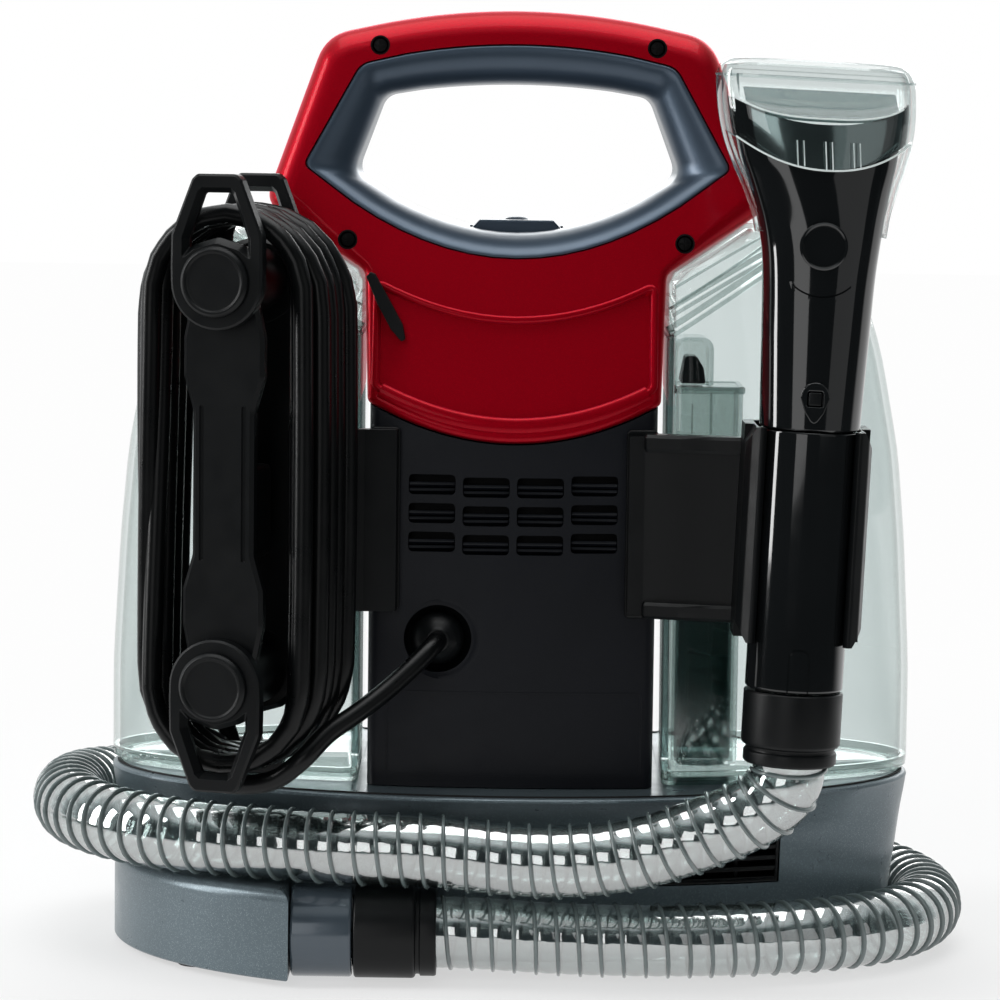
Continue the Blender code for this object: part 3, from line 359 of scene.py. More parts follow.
def boolean(base, tools, operation):
    """Apply the tools one after another, then clean the result once."""
    def as_object(mesh, name):
        bmesh.ops.recalc_face_normals(mesh, faces=mesh.faces)
        data = bpy.data.meshes.new(name)
        mesh.to_mesh(data)
        mesh.free()
        made = bpy.data.objects.new(name, data)
        bpy.context.scene.collection.objects.link(made)
        return made
    base = as_object(base, "tmp_a")
    for tool in tools:
        tool = as_object(tool, "tmp_b")
        modifier = base.modifiers.new("b", "BOOLEAN")
        modifier.operation = operation
        modifier.solver = "EXACT"
        modifier.object = tool
        bpy.context.view_layer.update()
        depsgraph = bpy.context.evaluated_depsgraph_get()
        result = bpy.data.meshes.new_from_object(base.evaluated_get(depsgraph))
        base.modifiers.clear()
        old = base.data
        base.data = result
        bpy.data.meshes.remove(old)
        tool_data = tool.data
        bpy.data.objects.remove(tool, do_unlink=True)
        bpy.data.meshes.remove(tool_data)
    out = bmesh.new()
    out.from_mesh(base.data)
    bpy.data.objects.remove(base, do_unlink=True)
    bmesh.ops.remove_doubles(out, verts=out.verts, dist=1e-3)
    bmesh.ops.dissolve_limit(out, angle_limit=math.radians(0.05), verts=out.verts, edges=out.edges)
    return out


def cut(base, *tools):
    return boolean(base, tools, "DIFFERENCE")


def fuse(base, *tools):
    return boolean(base, tools, "UNION")


def overlap(base, tool):
    return boolean(base, [tool], "INTERSECT")


def tube(path, radius, count):
    rings = []
    for point, (_, normal, binormal) in zip(path, path_frames(path)):
        rings.append([point + normal * a + binormal * b for a, b in ellipse(radius, radius, count)])
    return loft(rings)


def sweep(path, outline, up, closed=False):
    """Sweep a section along a path; its second coordinate stays near the up direction."""
    count = len(path)
    rings = []
    for i, point in enumerate(path):
        before = path[(i - 1) % count if closed else max(i - 1, 0)]
        after = path[(i + 1) % count if closed else min(i + 1, count - 1)]
        tangent = (after - before).normalized()
        side = Vector(up).cross(tangent).normalized()
        rise = tangent.cross(side).normalized()
        rings.append([point + side * a + rise * b for a, b in outline])
    return loft(rings, loop=closed)


def place(name, mesh, material, body="machine", replaces=None, slot="usual", smooth=35.0,
          bevel=0.0, steps=2):
    """Turn a millimetre mesh into a piece that rides on a body; the slot looked up from the
    material is not stored.
    """
    bmesh.ops.remove_doubles(mesh, verts=mesh.verts, dist=1e-4)
    bmesh.ops.recalc_face_normals(mesh, faces=mesh.faces)
    for vertex in mesh.verts:
        vertex.co = vertex.co * MM + SHIFT
    data = bpy.data.meshes.new(name)
    mesh.to_mesh(data)
    mesh.free()
    data.materials.append(MATERIALS[material])
    data.shade_smooth()
    data.set_sharp_from_angle(angle=math.radians(smooth))
    piece = bpy.data.objects.new(name, data)
    bpy.context.scene.collection.objects.link(piece)
    if bevel:
        edge = piece.modifiers.new("edge", "BEVEL")
        edge.width = bevel * MM
        edge.segments = steps
        edge.limit_method = "ANGLE"
        edge.angle_limit = math.radians(38)
        edge.harden_normals = False
        edge.miter_outer = "MITER_ARC"
        shade = piece.modifiers.new("shade", "WEIGHTED_NORMAL")
        shade.keep_sharp = True
        shade.weight = 80
    if body:
        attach(piece, body)
    if replaces:
        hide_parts(replaces)
    if slot == "usual":
        slot = SLOTS.get(material)
    return piece


# ------------------------------------------------------------------ shader helpers

# Sockets of the Mix node in colour mode, whose names are not unique.
MIX_FACTOR, MIX_A, MIX_B, MIX_RESULT = 0, 6, 7, 2


def feed(target, inputs):
    """Fill a node's inputs: a socket is linked, anything else is the value."""
    for key, value in inputs.items():
        if isinstance(value, bpy.types.NodeSocket):
            target.id_data.links.new(value, target.inputs[key])
        else:
            target.inputs[key].default_value = value


def node(tree, kind, inputs={}, **settings):
    made = tree.nodes.new("ShaderNode" + kind)
    for key, value in settings.items():
        setattr(made, key, value)
    feed(made, inputs)
    return made


def new_material(name):
    material = bpy.data.materials.new(name)
    material.use_nodes = True
    return material, material.node_tree


def noise(vector, scale, detail=2.0, roughness=0.5):
    inputs = {"Vector": vector, "Scale": scale, "Detail": detail, "Roughness": roughness}
    return node(vector.id_data, "TexNoise", inputs).outputs["Fac"]


def ramp(factor, stops):
    """Colour ramp through (position, colour) stops."""
    made = node(factor.id_data, "ValToRGB", {"Fac": factor})
    elements = made.color_ramp.elements
    while len(elements) < len(stops):
        elements.new(0.5)
    for element, (position, color) in zip(elements, stops):
        element.position = position
        element.color = (*color, 1.0)
    return made.outputs["Color"]


def remap(value, start, end, low=0.0, high=1.0, kind="LINEAR"):
    inputs = {"Value": value, "From Min": start, "From Max": end, "To Min": low, "To Max": high}
    return node(value.id_data, "MapRange", inputs, interpolation_type=kind).outputs["Result"]


def combine(operation, *values):
    """Math node on one to three values, at least one of them a socket."""
    tree = next(v for v in values if isinstance(v, bpy.types.NodeSocket)).id_data
    return node(tree, "Math", dict(enumerate(values)), operation=operation).outputs["Value"]


def mix_shaders(factor, first, second):
    inputs = {0: factor, 1: first, 2: second}
    return node(factor.id_data, "MixShader", inputs).outputs["Shader"]


def bump(height, strength, distance):
    inputs = {"Height": height, "Strength": strength, "Distance": distance}
    return node(height.id_data, "Bump", inputs).outputs["Normal"]


def cell_colors(vector, scale):
    """Random colour per Voronoi cell, split into channels."""
    cells = node(vector.id_data, "TexVoronoi", {"Vector": vector, "Scale": scale})
    return node(vector.id_data, "SeparateColor", {"Color": cells.outputs["Color"]}).outputs


# ------------------------------------------------------------------ materials


def plastic(name, color, roughness, drift=0.12, grain=0.10, grain_scale=2600, specular=0.5,
            metal=0.0, coat=0.0, coat_roughness=0.05, gloss_range=0.05, fleck=None):
    """Moulded plastic: colour drift, uneven gloss, fine grain and, if wanted, metallic fleck."""
    material, tree = new_material(name)
    point = node(tree, "TexCoord").outputs["Object"]
    base = ramp(noise(point, scale=28, detail=3, roughness=0.55),
                [(0.32, [c * (1 - drift) for c in color]),
                 (0.68, [min(c * (1 + drift), 1.0) for c in color])])
    if fleck:
        fleck_share = 0.20
        cells = cell_colors(point, scale=4200)
        amount = remap(cells["Red"], start=1.0 - fleck_share, end=1.0)
        inputs = {MIX_FACTOR: amount, MIX_A: base, MIX_B: (*fleck, 1.0)}
        base = node(tree, "Mix", inputs, data_type="RGBA").outputs[MIX_RESULT]
        metal = remap(amount, start=0.0, end=1.0, low=metal, high=min(metal + 0.15, 1.0))
    gloss = noise(point, scale=90, detail=4, roughness=0.6)
    shader = tree.nodes["Principled BSDF"]
    feed(shader, {
        "Base Color": base, "Metallic": metal,
        "Roughness": remap(gloss, start=0.3, end=0.7, low=max(roughness - gloss_range, 0.02),
                           high=min(roughness + gloss_range, 1.0)),
        "Specular IOR Level": specular, "Coat Weight": coat, "Coat Roughness": coat_roughness})
    if grain:
        height = noise(point, scale=grain_scale)
        feed(shader, {"Normal": bump(height, strength=grain, distance=0.0002)})
    return material


def clear(name, tint, edge, reflection, roughness, streak, wave=0.0, wave_scale=0.0):
    """Thin clear moulding: tint straight through, edge colour at grazing angles, reflections."""
    material, tree = new_material(name)
    tree.nodes.remove(tree.nodes["Principled BSDF"])
    point = node(tree, "TexCoord").outputs["Object"]
    facing = node(tree, "LayerWeight", {"Blend": 0.5}).outputs["Facing"]
    tall = node(tree, "Mapping", {"Vector": point, "Scale": (1.0, 1.0, 0.25)}).outputs["Vector"]
    smear = noise(tall, scale=22, detail=3, roughness=0.6)
    color = ramp(combine("MULTIPLY_ADD", smear, streak, facing),
                 [(0.0, tint), (0.6, [a * 0.85 + b * 0.15 for a, b in zip(tint, edge)]),
                  (1.0, edge)])
    through = node(tree, "BsdfTransparent", {"Color": color}).outputs["BSDF"]
    glossy = node(tree, "BsdfGlossy", {"Roughness": roughness, "Color": (1.0, 1.0, 1.0, 1.0)})
    grazing = combine("POWER", facing, 4.0)
    share = combine("MULTIPLY_ADD", grazing, 1.0 - reflection, reflection)
    if wave:
        height = noise(point, scale=wave_scale)
        feed(glossy, {"Normal": bump(height, strength=wave, distance=0.001)})
    surface = mix_shaders(share, through, glossy.outputs["BSDF"])
    feed(tree.nodes["Material Output"], {"Surface": surface})
    return material


def candy_red():
    """Metallic red with a fine sparkle; the pink towards grazing angles is a painted highlight on
    its edges.
    """
    material, tree = new_material("candy_red_with_painted_edge_highlight")
    point = node(tree, "TexCoord").outputs["Object"]
    cells = cell_colors(point, scale=5200)
    facing = node(tree, "LayerWeight", {"Blend": 0.45}).outputs["Facing"]
    # The pink at grazing angles is a painted edge highlight on the red.
    red_with_edge_highlight = ramp(facing, [(0.0, (0.33, 0.0, 0.006)), (0.5, (0.34, 0.0, 0.008)),
                          (1.0, (0.78, 0.01, 0.10))])
    sparkle = ramp(cells["Red"], [(0.0, (0.86, 0.86, 0.86)), (0.8, (1.0, 1.0, 1.0)),
                                  (1.0, (1.25, 1.1, 1.1))])
    color = node(tree, "Mix", {MIX_FACTOR: 1.0, MIX_A: red_with_edge_highlight, MIX_B: sparkle},
                 data_type="RGBA", blend_type="MULTIPLY").outputs[MIX_RESULT]
    feed(tree.nodes["Principled BSDF"], {
        "Base Color": color, "Metallic": 0.55, "Roughness": 0.38, "Specular IOR Level": 0.60,
        "Specular Tint": (1.0, 0.06, 0.16, 1), "Coat Weight": 0.14, "Coat Roughness": 0.08,
        "Normal": bump(cells["Green"], strength=0.12, distance=0.0001)})
    return material


MATERIALS = {
    "red": candy_red(),
    "slate": plastic("slate_grip_plastic", color=(0.056, 0.082, 0.116), roughness=0.37, drift=0.04,
                     grain=0.015, grain_scale=2200, gloss_range=0.02, metal=0.65, coat=0.32,
                     coat_roughness=0.2),
    "column": plastic("blue_black_textured_plastic", color=(0.0034, 0.0044, 0.0070),
                      roughness=0.46, grain=0.25, grain_scale=1900, specular=0.22),
    "grey": plastic("fleck_grey_plastic", color=(0.105, 0.137, 0.155), roughness=0.31, drift=0.05,
                    grain=0.01, metal=0.40, fleck=(0.21, 0.26, 0.28)),
    "satin": plastic("black_satin_plastic", color=(0.0020, 0.0026, 0.0030), roughness=0.38,
                     grain_scale=2400, specular=0.24),
    "gloss": plastic("gloss_black_plastic", color=(0.004, 0.0046, 0.005), roughness=0.07, grain=0,
                     specular=0.55, gloss_range=0.02, coat=0.3, coat_roughness=0.03),
    "screw": plastic("screw_black_oxide", color=(0.006, 0.006, 0.0065), roughness=0.45,
                     drift=0.15, grain_scale=3000, specular=0.4, metal=0.5),
    "cord": plastic("cord_black_vinyl", color=(0.0013, 0.0016, 0.0018), roughness=0.30,
                    drift=0.15, grain_scale=900, specular=0.24),
    "rubber": plastic("rubber_black", color=(0.007, 0.007, 0.0075), roughness=0.70, drift=0.15,
                      grain=0.35, grain_scale=1500, specular=0.30),
    "steel": plastic("brushed_steel", color=(0.42, 0.43, 0.44), roughness=0.30, drift=0.06,
                     grain_scale=1400, metal=1.0),
    "white": plastic("white_plastic", color=(0.62, 0.62, 0.60), roughness=0.45, drift=0.04,
                     grain_scale=2200),
    # Flat black that paints the shade inside holes and behind slots.
    "dark": plastic("painted_shadow_black", color=(0.002, 0.002, 0.0025), roughness=0.7,
                    drift=0.1, grain_scale=2000, specular=0.2),
    "tank": clear("smoky_clear_tank", tint=(0.925, 0.95, 0.948), edge=(0.45, 0.52, 0.50),
                  reflection=0.04, roughness=0.015, streak=0.02),
    "rim": clear("smoky_clear_rim", tint=(0.80, 0.84, 0.83), edge=(0.25, 0.31, 0.30),
                 reflection=0.08, roughness=0.03, streak=0.08),
    "nozzle": clear("clear_nozzle", tint=(0.93, 0.95, 0.948), edge=(0.40, 0.46, 0.45),
                    reflection=0.045, roughness=0.015, streak=0.03),
    "film": clear("clear_hose_film", tint=(0.84, 0.88, 0.875), edge=(0.40, 0.46, 0.45),
                  reflection=0.34, roughness=0.04, streak=0.08, wave=0.22, wave_scale=120),
    "socket": plastic("grey_socket_plastic", color=(0.060, 0.080, 0.100), roughness=0.20,
                      drift=0.05, grain=0.03, specular=0.6, metal=0.3, coat=0.4,
                      coat_roughness=0.08),
    "smoke": clear("smoke_insert", tint=(0.33, 0.40, 0.395), edge=(0.12, 0.16, 0.155),
                   reflection=0.015, roughness=0.05, streak=0.08),
    "mirror": plastic("smoky_reflecting_liner", color=(0.30, 0.36, 0.36), roughness=0.10,
                      drift=0.08, grain=0, gloss_range=0.02, metal=0.95),
    # Pale opaque colour: a painted highlight for the lit edges of clear parts.
    "edge": plastic("painted_highlight_clear_edge", color=(0.66, 0.73, 0.72), roughness=0.14, drift=0.06,
                    grain=0, specular=0.8, coat=0.5),
    "rib": plastic("smoke_rib_plastic", color=(0.11, 0.14, 0.14), roughness=0.18, drift=0.15,
                   grain=0, specular=0.8, coat=0.6),
}

# Slot name for each material, which place() looks up but does not store.
SLOTS = {
    "red": "candy_red", "slate": "grip_slate", "column": "column_dark", "grey": "base_grey",
    "satin": "black_satin", "gloss": "wand_gloss", "screw": "screw_black", "cord": "cord_black",
    "rubber": "rubber_black", "tank": "tank_clear", "rim": "tank_clear", "smoke": "tank_clear",
    "nozzle": "tool_clear", "mirror": "tool_clear", "edge": "tool_clear", "film": "hose_clear",
    "rib": "hose_clear", "socket": "base_grey"}

# Frame pieces that wear each material.
FRAME_PIECES = {
    "grey": "base_housing hose_port",
    "satin": "base_plate cord_winder hook_top_cap hook_bottom_cap hook_top_loop hook_bottom_loop"
             " tool_holder power_plug hose_base_cuff power_switch suction_duct exhaust_grille"
             " clean_tank_cap dirty_tank_float tank_latch spray_trigger hose_wand_cuff spray_tip"
             " release_button",
    "rubber": "foot_1 foot_2 foot_3 foot_4 cord_grommet motor_gasket",
    "column": "rear_cover front_cover",
    "red": "rear_handle_shell front_handle_shell",
    "slate": "rear_grip_liner front_grip_liner power_button",
    "screw": "handle_screw_1 handle_screw_2 handle_screw_3 handle_screw_4",
    "cord": "power_cord",
    "film": "suction_hose",
    "steel": "motor_housing wand_valve fan_impeller",
    "white": "fan_housing pump_body water_tube",
    "tank": "clean_tank_shell clean_tank_lid dirty_tank_shell dirty_tank_lid",
    "rim": "dirty_tank_stack",
    "gloss": "wand_handle tool_neck tool_badge",
    "nozzle": "tool_window"}


def dress_frame():
    wear = {name: key for key, names in FRAME_PIECES.items() for name in names.split()}
    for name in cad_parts:
        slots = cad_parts[name].data.materials
        material = MATERIALS[wear[name]]
        if not slots:
            slots.append(material)
        for i in range(len(slots)):
            slots[i] = material


# ------------------------------------------------------------------ handle

# A bowed shape is (lower edge, corners on the +X side, upper edge). An edge is (half width,
# height at the centre, rise per x squared, steps); a corner is (x, z, radius), and a negative
# radius marks a hollow corner.
FOOT_Z, FOOT_RISE = 188.0, 0.0053
HANDLE = ((42, FOOT_Z, FOOT_RISE, 21),
          [(51.5, 202.0, 3.0), (53.2, 247.4, -5.0), (89.5, 271.0, 8.0), (69.0, 330.5, 16.0)],
          (50, 340.0, -0.0021, 20))
RING_OUTER = ((58, 252.4, 0.0057, 14), [(75.5, 284.4, 3.0), (56.0, 320.2, 8.0)],
              (40, 327.6, -0.0023, 14))
RING_INNER = ((42, 261.0, 0.0060, 14), [(58.5, 281.5, 7.0), (47.8, 309.6, 7.0)],
              (34, 314.0, -0.0018, 14))
EDGE_RADIUS, FOOT_EDGE_RADIUS = 9.0, 3.4
HANDLE_SCREWS = [(-49.3, 327.0), (49.3, 327.0), (-59.5, 258.3), (59.5, 258.3)]  # (x, z)

# Section of the grip ring: (part of the way from outer to inner outline, depth below face).
RING_WIDTH = 17.0
RING_SECTION = [
    (0.0, 3.2), (0.0, 1.0), (0.02, 0.35), (0.06, 0.12), (0.12, 0.18), (0.25, 0.8), (0.40, 1.95),
    (0.55, 3.5), (0.70, 5.6), (0.82, 7.9), (0.92, 10.6), (0.98, 13.4), (1.0, 17.0)]


def bowed_outline(shape, inset=0.0, steps=8):
    def new_radius(radius):
        if radius is None:
            return None
        return -radius + inset if radius < 0 else max(radius - inset, 0.6)
    (low_half, *low_bow, low_count), side, (top_half, *top_bow, top_count) = shape
    corners = [(x, parabola(x, *low_bow), None) for x in across(low_half, low_count)]
    corners += side
    corners += [(-x, parabola(x, *top_bow), None) for x in across(top_half, top_count)]
    corners += [(-x, z, radius) for x, z, radius in reversed(side)]
    points = offset_outline([(x, z) for x, z, _ in corners], inset)
    return round_outline(points, [new_radius(radius) for _, _, radius in corners], steps)


def shell_depth(z):
    """Distance of the sloping handle face from the middle plane."""
    return 61.0 - (z - FOOT_Z) * 0.26


def under_face(outline, sign, drop):
    return [(x, sign * (shell_depth(z) - drop), z) for x, z in outline]


def edge_radius(z):
    """Rounding of the handle's edge: tight at its foot, full above the waist."""
    return FOOT_EDGE_RADIUS + (EDGE_RADIUS - FOOT_EDGE_RADIUS) * eased((z - 246.0) / 22.0)


def band_outline(top, bottom, half, radius=3.0):
    """Bowed band across the foot of the handle."""
    xs = across(half, 16)
    points = [(x, parabola(x, bottom, FOOT_RISE)) for x in xs]
    points += [(-x, parabola(x, top, FOOT_RISE)) for x in xs]
    return round_outline(points, ([radius] + [None] * 15 + [radius]) * 2, 5)


def shell_half(sign, screw_holes):
    base = bowed_outline(HANDLE)
    rings = [upright(base, sign * 0.15),
             [(x, sign * (shell_depth(z) - edge_radius(z)), z) for x, z in base]]
    for i in range(1, 9):
        angle = math.radians(90 * i / 8)
        inset = bowed_outline(HANDLE, EDGE_RADIUS * (1 - math.cos(angle)))
        ring = []
        for (x0, z0), (x1, z1) in zip(base, inset):
            radius = edge_radius(z0)
            x = x0 + (x1 - x0) * radius / EDGE_RADIUS
            z = z0 + (z1 - z0) * radius / EDGE_RADIUS
            ring.append((x, sign * (shell_depth(z) - radius + radius * math.sin(angle)), z))
        rings.append(ring)
    hollow = [upright(bowed_outline(HANDLE, 2.5, 4), -sign)]
    for inset, drop in ((2.5, EDGE_RADIUS), (5.0, 5.2), (9.0, 4.2)):
        hollow.append(under_face(bowed_outline(HANDLE, inset, 4), sign, drop))
    shell = cut(loft(rings), loft(hollow))
    shell = cut(shell, prism(bowed_outline(RING_OUTER, -0.35), sign * 5.0, sign * 90.0, "XZ"))
    shell = cut(shell, loft([upright(band_outline(230.2, 195.6, 48.0), sign * 90.0),
                             under_face(band_outline(230.0, 195.8, 47.8), sign, 0.1),
                             under_face(band_outline(229.4, 196.4, 47.2), sign, 1.5)]))
    if screw_holes:
        for x, z in HANDLE_SCREWS:
            depth = shell_depth(z)
            hole = cylinder(3.5, depth - 20, depth + 20, 32)
            shell = cut(shell, moved(hole, shift(x, 0, z) @ Z_TO_MINUS_Y))
    return shell


def handle_covers():
    for sign, side in ((-1, "rear"), (1, "front")):
        place(side + "_handle_cover", shell_half(sign, screw_holes=sign < 0), "red",
              replaces=side + "_handle_shell", smooth=30, bevel=0.55, steps=3)


def handle_trim():
    """Bead round the sunk band and a roll along its lower edge."""
    for sign, side in ((-1, "rear"), (1, "front")):
        loop = [(point.x, point.y) for point in walk(band_outline(231.0, 194.6, 48.9, 3.6), 2.0)]
        path = [Vector(point) for point in under_face(loop, sign, 0.35)]
        bead = sweep(path, ellipse(1.35, 1.0, 12), up=(0, sign, 0), closed=True)
        place(side + "_handle_bead", bead, "red", smooth=70)
        low_edge = [(x, parabola(x, 194.2, FOOT_RISE)) for x in range(-47, 48, 2)]
        path = [Vector(point) for point in under_face(low_edge, sign, 0.6)]
        roll = sweep(path, ellipse(3.0, 1.7, 16), up=(0, sign, 0))
        place(side + "_handle_roll", roll, "red", smooth=70)


def handle_screws():
    """Cross-slotted heads, each at the bottom of a thin dark sleeve that paints the shade inside
    its hole.
    """
    head_profile = [(0, -8.0), (1.5, -8.0), (1.5, -4.6), (2.85, -4.6), (2.85, -3.4), (2.3, -2.7),
                    (0, -2.5)]
    well_profile = [(3.45, -0.4), (3.45, -6.5), (2.9, -6.5), (2.9, -0.4)]
    for i, (x, z) in enumerate(HANDLE_SCREWS, 1):
        depth = shell_depth(z)
        axes = shift(x, 0, z) @ Z_TO_MINUS_Y
        head = cut(lathe([(r, depth + h) for r, h in head_profile], 32),
                   block(-1.9, 1.9, -0.35, 0.35, depth - 3.4, depth),
                   block(-0.35, 0.35, -1.9, 1.9, depth - 3.4, depth))
        well = lathe([(r, depth + h) for r, h in well_profile], 32, closed=True)
        place("handle_screw_head_%d" % i, moved(head, axes), "screw",
              replaces="handle_screw_%d" % i)
        # The black sleeve paints the shade inside each screw hole.
        place("handle_screw_well_%d" % i, moved(well, axes), "dark")


def grip_half(sign):
    pairs = list(zip(bowed_outline(RING_OUTER), bowed_outline(RING_INNER)))

    def mixed(part):
        return [(xo + (xi - xo) * part, zo + (zi - zo) * part) for (xo, zo), (xi, zi) in pairs]
    face = spline([(part * RING_WIDTH, depth, 0) for part, depth in RING_SECTION], 3)
    rings = [under_face(mixed(min(p.x / RING_WIDTH, 1.0)), sign, p.y) for p in face]
    rings += [upright(mixed(part), sign * 0.12) for part in (1.0, 0.86)]
    rings += [under_face(mixed(part), sign, drop)
              for part, drop in ((0.86, 18.0), (0.5, 7.0), (0.12, 4.5))]
    return cut(loft(rings, loop=True), block(-16.95, 16.95, -14.5, 14.5, 240, 275))


def grip_rings():
    for sign, side in ((-1, "rear"), (1, "front")):
        place(side + "_grip_ring", grip_half(sign), "slate", replaces=side + "_grip_liner",
              smooth=40)


def power_button():
    outline = rounded([(-16.6, 256.5), (16.6, 256.5), (16.6, 261.8), (13.2, 265.3),
                       (-13.2, 265.3), (-16.6, 261.8)], 1.2, 4)
    cap = fuse(prism(outline, -14.1, 14.1, "XZ"), block(-3, 3, -3, 3, 251.6, 257.0))
    place("power_button_cap", cap, "slate", "power_button_body", replaces="power_button",
          bevel=0.8, steps=3)
    dome = [(0, 265.1), (4.2, 265.1), (4.1, 265.6), (3.3, 266.1), (1.6, 266.35), (0, 266.4)]
    place("power_button_dome", lathe(dome, 40), "slate", "power_button_body", slot=None)


# ------------------------------------------------------------------ base

# (z, half length, half depth) up the tub
BASE_STATIONS = [(2.4, 137.5, 53.0), (16, 139.5, 54.0), (28, 141.0, 56.5), (40, 142.5, 61.0),
                 (52, 144.0, 66.0), (60, 145.4, 73.0), (64.6, 146.0, 80.0), (66.0, 144.8, 78.8)]
BASE_WALL = 2.6
LOBE_X = -76.0  # +X end of the low lobe on the tub's -Y side
HOSE_PORT = shift(0, -73.0, 17.5) @ Z_TO_PLUS_X
CLEAN_PORT_X, DIRTY_PORT_X = -100, 70


def tub_size(z):
    half_x, half_y = averaged(BASE_STATIONS, z, (-3, -1.5, 0, 1.5, 3), 2.4, 64.6)
    return half_x, min(half_y, between(BASE_STATIONS, z)[1])


def tub_ring(z, inset=0.0, count=144, height=None):
    half_x, half_y = tub_size(z)
    return level(ellipse(half_x - inset, half_y - inset, count), z if height is None else height)


def lobe_outline(inset):
    half_x, half_y, end = 145.0 - inset, 105.0 - inset, LOBE_X - inset
    sweep_angle = math.acos(-end / half_x)
    points = [(-half_x * math.cos(sweep_angle * k / 40), -half_y * math.sin(sweep_angle * k / 40))
              for k in range(41)]
    return points + [(end, -20.0), (-100.0, 20.0), (-128.0 + inset, 26.0 - inset),
                     (-141.0 + inset, 13.0)]


def lobe(inset, z0, z1, radius, steps, chamfer):
    """Lobe with a rounded top edge and, if wanted, a chamfered foot."""
    rings = [level(lobe_outline(inset + 0.6), z0)] if chamfer else []
    rings += [level(lobe_outline(inset), z0 + 0.6), level(lobe_outline(inset), z1 - radius)]
    for i in range(1, steps + 1):
        angle = math.radians(90 * i / steps)
        rings.append(level(lobe_outline(inset + radius * (1 - math.cos(angle))),
                           z1 - radius + radius * math.sin(angle)))
    return loft(rings)


def base_tub():
    rings = [tub_ring(3.0, inset=0.6, height=2.4)]
    rings += [tub_ring(z) for z in [3.0] + [6 + 3 * k for k in range(19)] + [62.6, 63.6]]
    for z, inset in ((64.4, 0.0), (65.2, 0.35), (65.7, 0.9), (66.0, 1.7)):
        half_y = min(80.0, tub_size(63.6)[1] + (z - 63.6) * 2.0)
        rings.append(level(ellipse(146.0 - inset, half_y - inset, 144), z))
    tub = fuse(loft(rings), lobe(0.0, 2.4, 34.0, radius=4.2, steps=7, chamfer=True))
    core = [tub_ring(2.4, BASE_WALL, 96, height=1.0)]
    core += [tub_ring(z, BASE_WALL, 96) for z in (16, 28, 40, 52, 60, 63)]
    core = fuse(loft(core), lobe(BASE_WALL, 1.0, 31.4, radius=1.0, steps=2, chamfer=False))
    hose_hole = moved(cylinder(11.8, -80.5, -60), HOSE_PORT)
    tub = cut(tub, core, hose_hole, block(51.0, 97.0, -90, -30, 30.5, 49.5))
    tub = cut(tub, moved(cylinder(9.6, 55, 80, 40), shift(DIRTY_PORT_X, 0, 0)),
              moved(cylinder(6, 55, 80, 32), shift(CLEAN_PORT_X, 0, 0)))
    place("base_tub", tub, "grey", replaces="base_housing", smooth=28, bevel=0.35)


def base_rim_seal():
    """Dark line between tub and tanks."""
    path = [Vector(point) for point in level(ellipse(143.6, 77.4, 144), 66.0)]
    seal = sweep(path, section(0.6, 0.0, 0.45), up=(0, 0, 1), closed=True)
    place("base_rim_seal", seal, "rubber", slot=None)


def hull_strip(x0, x1, z0, z1, outer, inner, x_steps=14, z_steps=1):
    """Slab that follows the tub's -Y face, between two depths behind it."""
    def y_at(x, z, depth):
        half_x, half_y = tub_size(z)
        return -(half_y * math.sqrt(max(1 - (x / half_x) ** 2, 0.0))) + depth
    rings = []
    for j in range(z_steps + 1):
        z = z0 + (z1 - z0) * j / z_steps
        xs = [x0 + (x1 - x0) * i / x_steps for i in range(x_steps + 1)]
        rings.append([(x, y_at(x, z, outer), z) for x in xs]
                     + [(x, y_at(x, z, inner), z) for x in reversed(xs)])
    return loft(rings)


def exhaust():
    """Curved fins in a frame with two posts, and a dark sheet behind them as painted shade inside
    the grille.
    """
    fins = [hull_strip(51.8, 96.2, 31.2 + 4.05 * k, 32.9 + 4.05 * k, 0.2, 9.0) for k in range(5)]
    fins += [hull_strip(51.8, 96.2, z0, z1, -0.1, 9.0) for z0, z1 in ((31.0, 31.9), (48.1, 49.0))]
    fins += [hull_strip(x0, x1, 31.0, 49.0, -0.1, 9.0, 2, 6)
             for x0, x1 in ((51.5, 52.6), (95.4, 96.5))]
    fins += [hull_strip(x, x + 1.5, 31.5, 48.5, 2.4, 7.0, 2, 6) for x in (66.0, 80.6)]
    place("exhaust_fins", join(*fins), "satin", replaces="exhaust_grille", smooth=30, bevel=0.3)
    # Black sheet behind the fins: painted shade inside the grille.
    place("exhaust_painted_shade_sheet", hull_strip(52.0, 96.0, 31.4, 48.6, 9.2, 10.4, 10, 4), "dark")


def rubber_feet():
    profile = round_profile([(0, 0.15), (4.6, 0.15), (4.9, 0.5), (5.5, 0.5), (5.8, 0.0),
                             (7.4, 0.0), (8.0, 0.7), (8.0, 2.3), (0, 2.3)], 0.2, 2)
    for i, (x, y) in enumerate(FEET, 1):
        place("rubber_foot_%d" % i, moved(lathe(profile, 40), shift(x, y, 0)), "rubber",
              replaces="foot_%d" % i)


# ------------------------------------------------------------------ column

COLUMN_X, COLUMN_DEPTH, BODY_HALF_LENGTH = 50.5, 60.0, 146.0
COLUMN_CORNER, COLUMN_WALL = 4.0, 2.5
VENT_X, VENT_Z = (-28.4, -9.4, 9.6, 28.6), (173.5, 163.4, 153.3)
CORD_EXIT = shift(-25.9, 0, 119.0) @ Z_TO_MINUS_Y


def column_y(x):
    return -COLUMN_DEPTH * math.sqrt(1 - (x / BODY_HALF_LENGTH) ** 2)


def column_top(x):
    """Height of the column's upper edge, which follows the handle's foot with a gap."""
    x = abs(x)
    if x < 42.01:
        return parabola(x, FOOT_Z, FOOT_RISE) - 0.4
    return 197.35 + (x - 42) * (202.0 - 197.35) / 9.5 - 0.4


